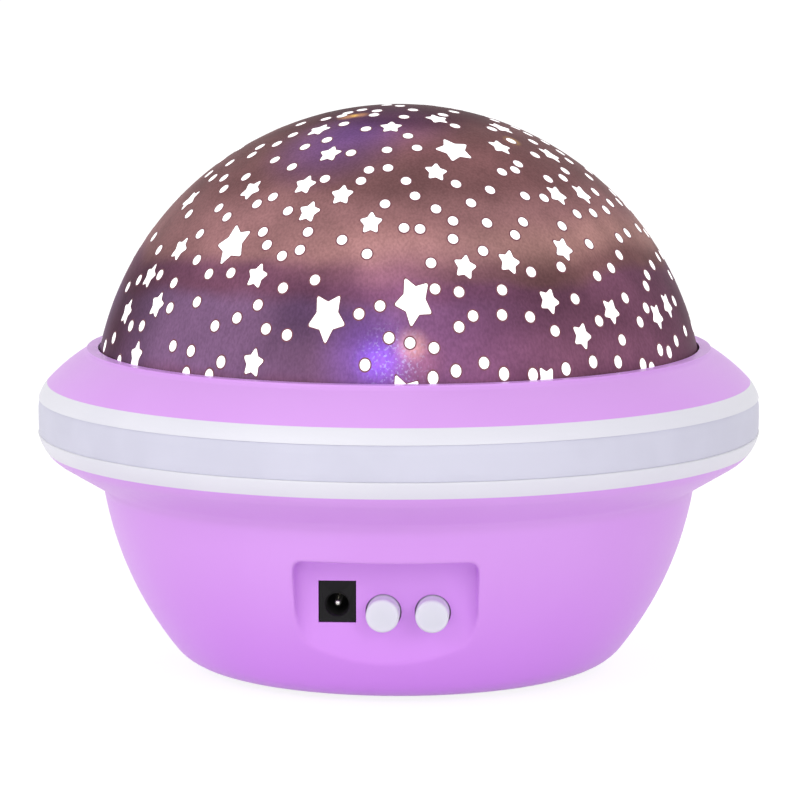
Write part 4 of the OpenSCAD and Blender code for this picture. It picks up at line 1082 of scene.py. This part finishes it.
    def window_tree(self) -> NodeTree:
        """Builds the tree that lays a closed flat shape on each point of the dome.

        Returns:
            The tree, with named inputs for its sizes.
        """
        tree = bpy.data.node_groups.new("dome_windows", "GeometryNodeTree")
        numbers = dict.fromkeys(SIZE_INPUTS + STRETCH_INPUTS, "Float")
        kinds = {"Geometry": "Geometry", "Arms": "Int", **numbers, "Material": "Material"}
        for name, kind in kinds.items():
            tree.interface.new_socket(name, in_out="INPUT", socket_type=f"NodeSocket{kind}")
        tree.interface.new_socket("Geometry", in_out="OUTPUT", socket_type="NodeSocketGeometry")
        add = partial(add_node, tree)
        given = add("NodeGroupInput").outputs

        # one flat closed window, with the height of each of its points kept as "rise"
        waist = add(MATH, (given["Radius"], given["Waist"]), operation="MULTIPLY")
        radii = {"Points": given["Arms"], "Inner Radius": waist, "Outer Radius": given["Radius"]}
        star = add("GeometryNodeCurveStar", radii)
        turned = add("GeometryNodeTransform", {"Geometry": star, "Rotation": (0, 0, math.pi / 2)})
        bends = {"Curve": turned, "Radius": given["Rounding"], "Count": 2}
        soft = add("GeometryNodeFilletCurve", bends, mode="POLY")
        sheet = add("GeometryNodeFillCurve", {"Curve": soft}, mode="TRIANGLES")
        fine = add("GeometryNodeSubdivideMesh", {"Mesh": sheet, "Level": 1})
        lift = {"Mesh": fine, "Offset Scale": given["Sink"], "Individual": False}
        raised = add("GeometryNodeExtrudeMesh", lift)
        back = add("GeometryNodeFlipFaces", {"Mesh": fine})
        whole = add("GeometryNodeJoinGeometry")
        for half in (back, raised):
            tree.links.new(half.outputs[0], whole.inputs[0])
        closed = add("GeometryNodeMergeByDistance", {"Geometry": whole, "Distance": JOINED})
        rise = add("ShaderNodeSeparateXYZ", (add("GeometryNodeInputPosition"),)).outputs[2]
        mark = {"Geometry": closed, "Name": "rise", "Value": rise}
        marked = add("GeometryNodeStoreNamedAttribute", mark, data_type="FLOAT", domain="POINT")

        # one of them on each point
        lie, spot, upright = (
            add("GeometryNodeInputNamedAttribute", {"Name": name}, data_type="FLOAT_VECTOR")
            for name in ("lie", "spot", "upright")
        )
        spin = add("FunctionNodeEulerToRotation", (lie,))
        seats = {"Points": given["Geometry"], "Instance": marked, "Rotation": spin}
        placed = add("GeometryNodeInstanceOnPoints", seats)
        real = add("GeometryNodeRealizeInstances", {"Geometry": placed})

        # stretched up the dome's side
        spot_z = add("ShaderNodeSeparateXYZ", (spot,)).outputs[2]
        stretch = add(SPAN, (spot_z, *(given[name] for name in STRETCH_INPUTS)))
        beyond = add(MATH, (stretch, 1.0), operation="SUBTRACT")
        here = add("GeometryNodeInputPosition")
        offset = add(VECTOR, (here, spot), operation="SUBTRACT")
        along = add(VECTOR, (offset, upright), operation="DOT_PRODUCT").outputs["Value"]
        pull = add(MATH, (along, beyond), operation="MULTIPLY")
        drawn = add(VECTOR, {0: upright, 3: pull}, operation="SCALE")
        there = add(VECTOR, (here, drawn), operation="ADD")

        # and bent round the dome's centre
        middle = add("ShaderNodeCombineXYZ", {2: given["Centre Height"]})
        arm = add(VECTOR, (there, middle), operation="SUBTRACT")
        way = add(VECTOR, (arm,), operation="NORMALIZE")
        kept = add("GeometryNodeInputNamedAttribute", {"Name": "rise"}, data_type="FLOAT")
        level = add(MATH, (given["Level"], kept), operation="ADD")
        bent = add(VECTOR, {0: way, 3: level}, operation="SCALE")
        home = add(VECTOR, (bent, middle), operation="ADD")
        curved = add("GeometryNodeSetPosition", {"Geometry": real, "Position": home})
        finish = {"Geometry": curved, "Material": given["Material"]}
        add("NodeGroupOutput", {"Geometry": add("GeometryNodeSetMaterial", finish)})
        return tree

    def lay(self, name: str, tree: NodeTree, spots: Sequence[Laid], values: dict) -> Object:
        """Runs the tree on a set of points and keeps the result as a plain mesh.

        Args:
            name: The piece's name.
            tree: The tree.
            spots: Each window's direction and rotation.
            values: What goes into the tree's inputs, by their names.

        Returns:
            The piece, riding on the dome.
        """
        points = bpy.data.meshes.new(f"{name}_points")
        reach = self.radius_mm * MM
        places = [self.centre() + out * reach for out, _ in spots]
        points.from_pydata(places, [], [])
        sky = Vector((0, 0, 1))
        kept = {
            "lie": [turn.to_euler("XYZ") for _, turn in spots],
            "spot": places,
            "upright": [(sky - out * out.z).normalized() for out, _ in spots],
        }
        for key, vectors in kept.items():
            layer = points.attributes.new(key, "FLOAT_VECTOR", "POINT")
            layer.data.foreach_set("vector", [c for v in vectors for c in v])
        carrier = put(f"{name}_points", points)
        modifier = carrier.modifiers.new("lay", "NODES")
        modifier.node_group = tree
        for socket in tree.interface.items_tree:
            if socket.in_out == "INPUT" and socket.name in values:
                modifier[socket.identifier] = values[socket.name]
        mesh = settled(carrier)
        for spare in [a.name for a in mesh.attributes if a.name == "rise" or a.name in kept]:
            mesh.attributes.remove(mesh.attributes[spare])
        piece = put(name, mesh)
        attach(piece, Body.DOME.value)
        return piece

    def make_windows(self) -> list[Object]:
        """Lays the stars and dots, each with its dull outline under it.

        Returns:
            The pieces.
        """
        tree = self.window_tree()
        stars, big = (self.seen(places, True) for places in (self.star_places, self.big_star_places))
        taken = [(out, kind.radius) for kind, laid in ((STAR, stars), (BIG_STAR, big)) for out, _ in laid]
        parts = (
            ("window", WINDOW.make(), 0.0, self.window_proud_mm),
            ("outline", WINDOW_EDGE.make(), self.outline_w_mm, self.outline_proud_mm),
        )
        made = []
        for kind, spots in ((DOT, self.dots(taken)), (STAR, stars), (BIG_STAR, big)):
            for part, material, grow, proud in parts:
                radius, rounding = (kind.radius + grow) * MM, kind.rounding * MM
                level = (self.radius_mm + proud - self.window_sink_mm) * MM
                sizes = (radius, kind.waist, rounding, self.window_sink_mm * MM, level, self.centre_z_mm * MM)
                heights = (height * MM for height in kind.span)
                values = dict(zip(SIZE_INPUTS + STRETCH_INPUTS, (*sizes, *heights, *kind.stretch)))
                values |= {"Arms": kind.arms, "Material": material}
                made.append(self.lay(f"{kind.name}_{part}", tree, spots, values))
        return made

    def hooks(self) -> Mesh:
        """Returns the snap hooks of the CAD dome, which reach below its lower edge."""
        past, down, short = self.hook_box
        half = self.radius_mm + past
        foot, edge = self.centre_z_mm - down, self.centre_z_mm + self.edge_rise_mm - short
        outline = ((-half, -half), (half, -half), (half, half), (-half, half))
        below = loft([[Vector((x, y, z)) for x, y in outline] for z in (foot, edge)])
        return combined(merged_copy("star_dome"), below, "INTERSECT")

    def make_shell(self) -> Object:
        """Turns the dome's wall, and keeps the three hooks of the CAD node.

        Returns:
            The piece, which stands for the CAD dome.
        """
        inner = self.radius_mm - self.wall_mm
        edge = []
        for radius, order in ((self.radius_mm, range(self.rings, -1, -1)), (inner, range(self.rings + 1))):
            low = math.asin(self.edge_rise_mm / radius)
            edge += [(radius, low + (math.pi / 2 - low) * i / self.rings) for i in order]
        shape = bmesh.new()
        around = [math.tau * k / self.sides for k in range(self.sides)]
        turned = []
        for radius, lift in edge:
            flat, high = radius * math.cos(lift), self.centre_z_mm + radius * math.sin(lift)
            # at the pole the ring is one point
            turns = around if flat * MM > JOINED else [0.0]
            ring = [(flat * math.cos(a) * MM, flat * math.sin(a) * MM, high * MM) for a in turns]
            turned.append([shape.verts.new(point) for point in ring])
        for low, high in zip(turned, turned[1:]):
            for k in range(self.sides):
                n = k + 1
                ring = (low[k % len(low)], low[n % len(low)], high[n % len(high)], high[k % len(high)])
                corners = list(dict.fromkeys(ring))
                if len(corners) > 2:
                    shape.faces.new(corners)
        bmesh.ops.recalc_face_normals(shape, faces=shape.faces)
        shape.from_mesh(self.hooks())
        mesh = to_mesh(shape, "star_dome_skin")
        mesh.shade_smooth()
        mesh.set_sharp_from_angle(angle=math.radians(self.sharp))
        mesh.materials.append(self.shelf.get("smoke_dome"))
        piece = put("star_dome_skin", mesh)
        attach(piece, Body.DOME.value)
        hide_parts("star_dome")
        return piece

    def make(self) -> list[Object]:
        """Returns the dome's pieces."""
        return [self.make_shell(), *self.make_windows()]


# ---- the studio ----


def seen_itself(add: Adder) -> Node:
    """Returns 1 where the camera sees a surface itself, in gloss or through a clear piece."""
    path = add("ShaderNodeLightPath").outputs
    seen = path["Is Camera Ray"]
    for other in ("Is Glossy Ray", "Is Transmission Ray"):
        seen = add(MATH, (seen, path[other]), operation="MAXIMUM")
    return seen


def grey(level: float) -> Colour:
    """Returns a plain grey, in linear light."""
    return (level, level, level, 1.0)


@dataclass
class Studio:
    """A plain pale floor, an even white room, and soft lamps in front, at the left and behind."""

    # name, place, size, power, and whether glossy surfaces show it
    lamps: tuple[tuple[str, Place, tuple[float, float], float, bool], ...] = (
        ("key_light", (-1.0, -1.2, 1.0), (0.9, 0.9), 4.0, True),
        ("side_light", (-1.6, -0.25, 0.5), (0.5, 0.8), 2.6, False),
        ("front_light", (0.9, -1.5, 0.75), (0.6, 0.6), 3.9, True),
        ("low_light", (0.0, -1.6, 0.12), (1.4, 0.2), 4.0, True),
        ("back_light", (0.4, 1.6, 0.7), (1.2, 0.6), 3.4, False),
    )
    aim: Place = (0.0, 0.0, 0.055)
    room_light: float = 0.76
    floor_m: float = 60.0
    # how pale the floor is to the object, and how much it shines and shades for the camera
    floor_pale: float = 0.92
    floor_shine: float = 0.86
    floor_shade: float = 0.26

    def make_floor(self) -> None:
        """Makes the floor, which the camera sees as white with a faint shadow."""
        mesh = bpy.data.meshes.new("floor")
        half = self.floor_m / 2
        corners = [(-half, -half, 0), (half, -half, 0), (half, half, 0), (-half, half, 0)]
        mesh.from_pydata(corners, [], [(0, 1, 2, 3)])
        floor = put("floor", mesh)
        material = bpy.data.materials.new("pale_floor")
        add = emptied(material)
        matt = add("ShaderNodeBsdfDiffuse", {"Color": grey(self.floor_pale)})
        pale = add("ShaderNodeEmission", {"Color": grey(1.0), "Strength": self.floor_shine})
        faint = add("ShaderNodeBsdfDiffuse", {"Color": grey(self.floor_shade)})
        both = add("ShaderNodeAddShader", (pale, faint))
        above = add("ShaderNodeMixShader", (seen_itself(add), matt, both))
        # seen from below, the floor is clear, so that the object's underside shows
        below = add("ShaderNodeNewGeometry").outputs["Backfacing"]
        mixed = add("ShaderNodeMixShader", (below, above, add("ShaderNodeBsdfTransparent")))
        add("ShaderNodeOutputMaterial", {"Surface": mixed})
        mesh.materials.append(material)

    def make_world(self) -> None:
        """Makes an even white world, which the camera sees as plain white."""
        world = bpy.data.worlds.new("studio")
        add = emptied(world)
        lit, white = (
            add("ShaderNodeBackground", {"Color": grey(1.0), "Strength": strength})
            for strength in (self.room_light, 1.0)
        )
        mixed = add("ShaderNodeMixShader", (seen_itself(add), lit, white))
        add("ShaderNodeOutputWorld", {"Surface": mixed})
        bpy.context.scene.world = world

    def make_lamps(self) -> None:
        """Makes the soft lamps, each aimed at the object."""
        for name, place, size, power, shown in self.lamps:
            data = bpy.data.lights.new(name, "AREA")
            data.shape = "RECTANGLE"
            data.size, data.size_y = size
            data.energy = power
            lamp = put(name, data)
            lamp.location = place
            lamp.visible_glossy = shown
            away = Vector(self.aim) - Vector(place)
            lamp.rotation_euler = away.to_track_quat("-Z", "Y").to_euler()

    def make(self) -> None:
        """Makes the whole studio."""
        self.make_world()
        self.make_lamps()
        self.make_floor()
        bpy.context.scene.view_settings.view_transform = "Standard"


def main() -> None:
    """Builds every sub-assembly and the studio."""
    logging.basicConfig(level=logging.INFO)
    view = Viewpoint()
    view.make()
    shelf = FinishShelf()
    for part in (DressedNodes(shelf, ControlRecess()), StarDome(shelf, view)):
        for piece in part.make():
            LOG.info("%s: %d faces", piece.name, len(piece.data.polygons))
    Studio().make()


if __name__ == "__main__":
    main()
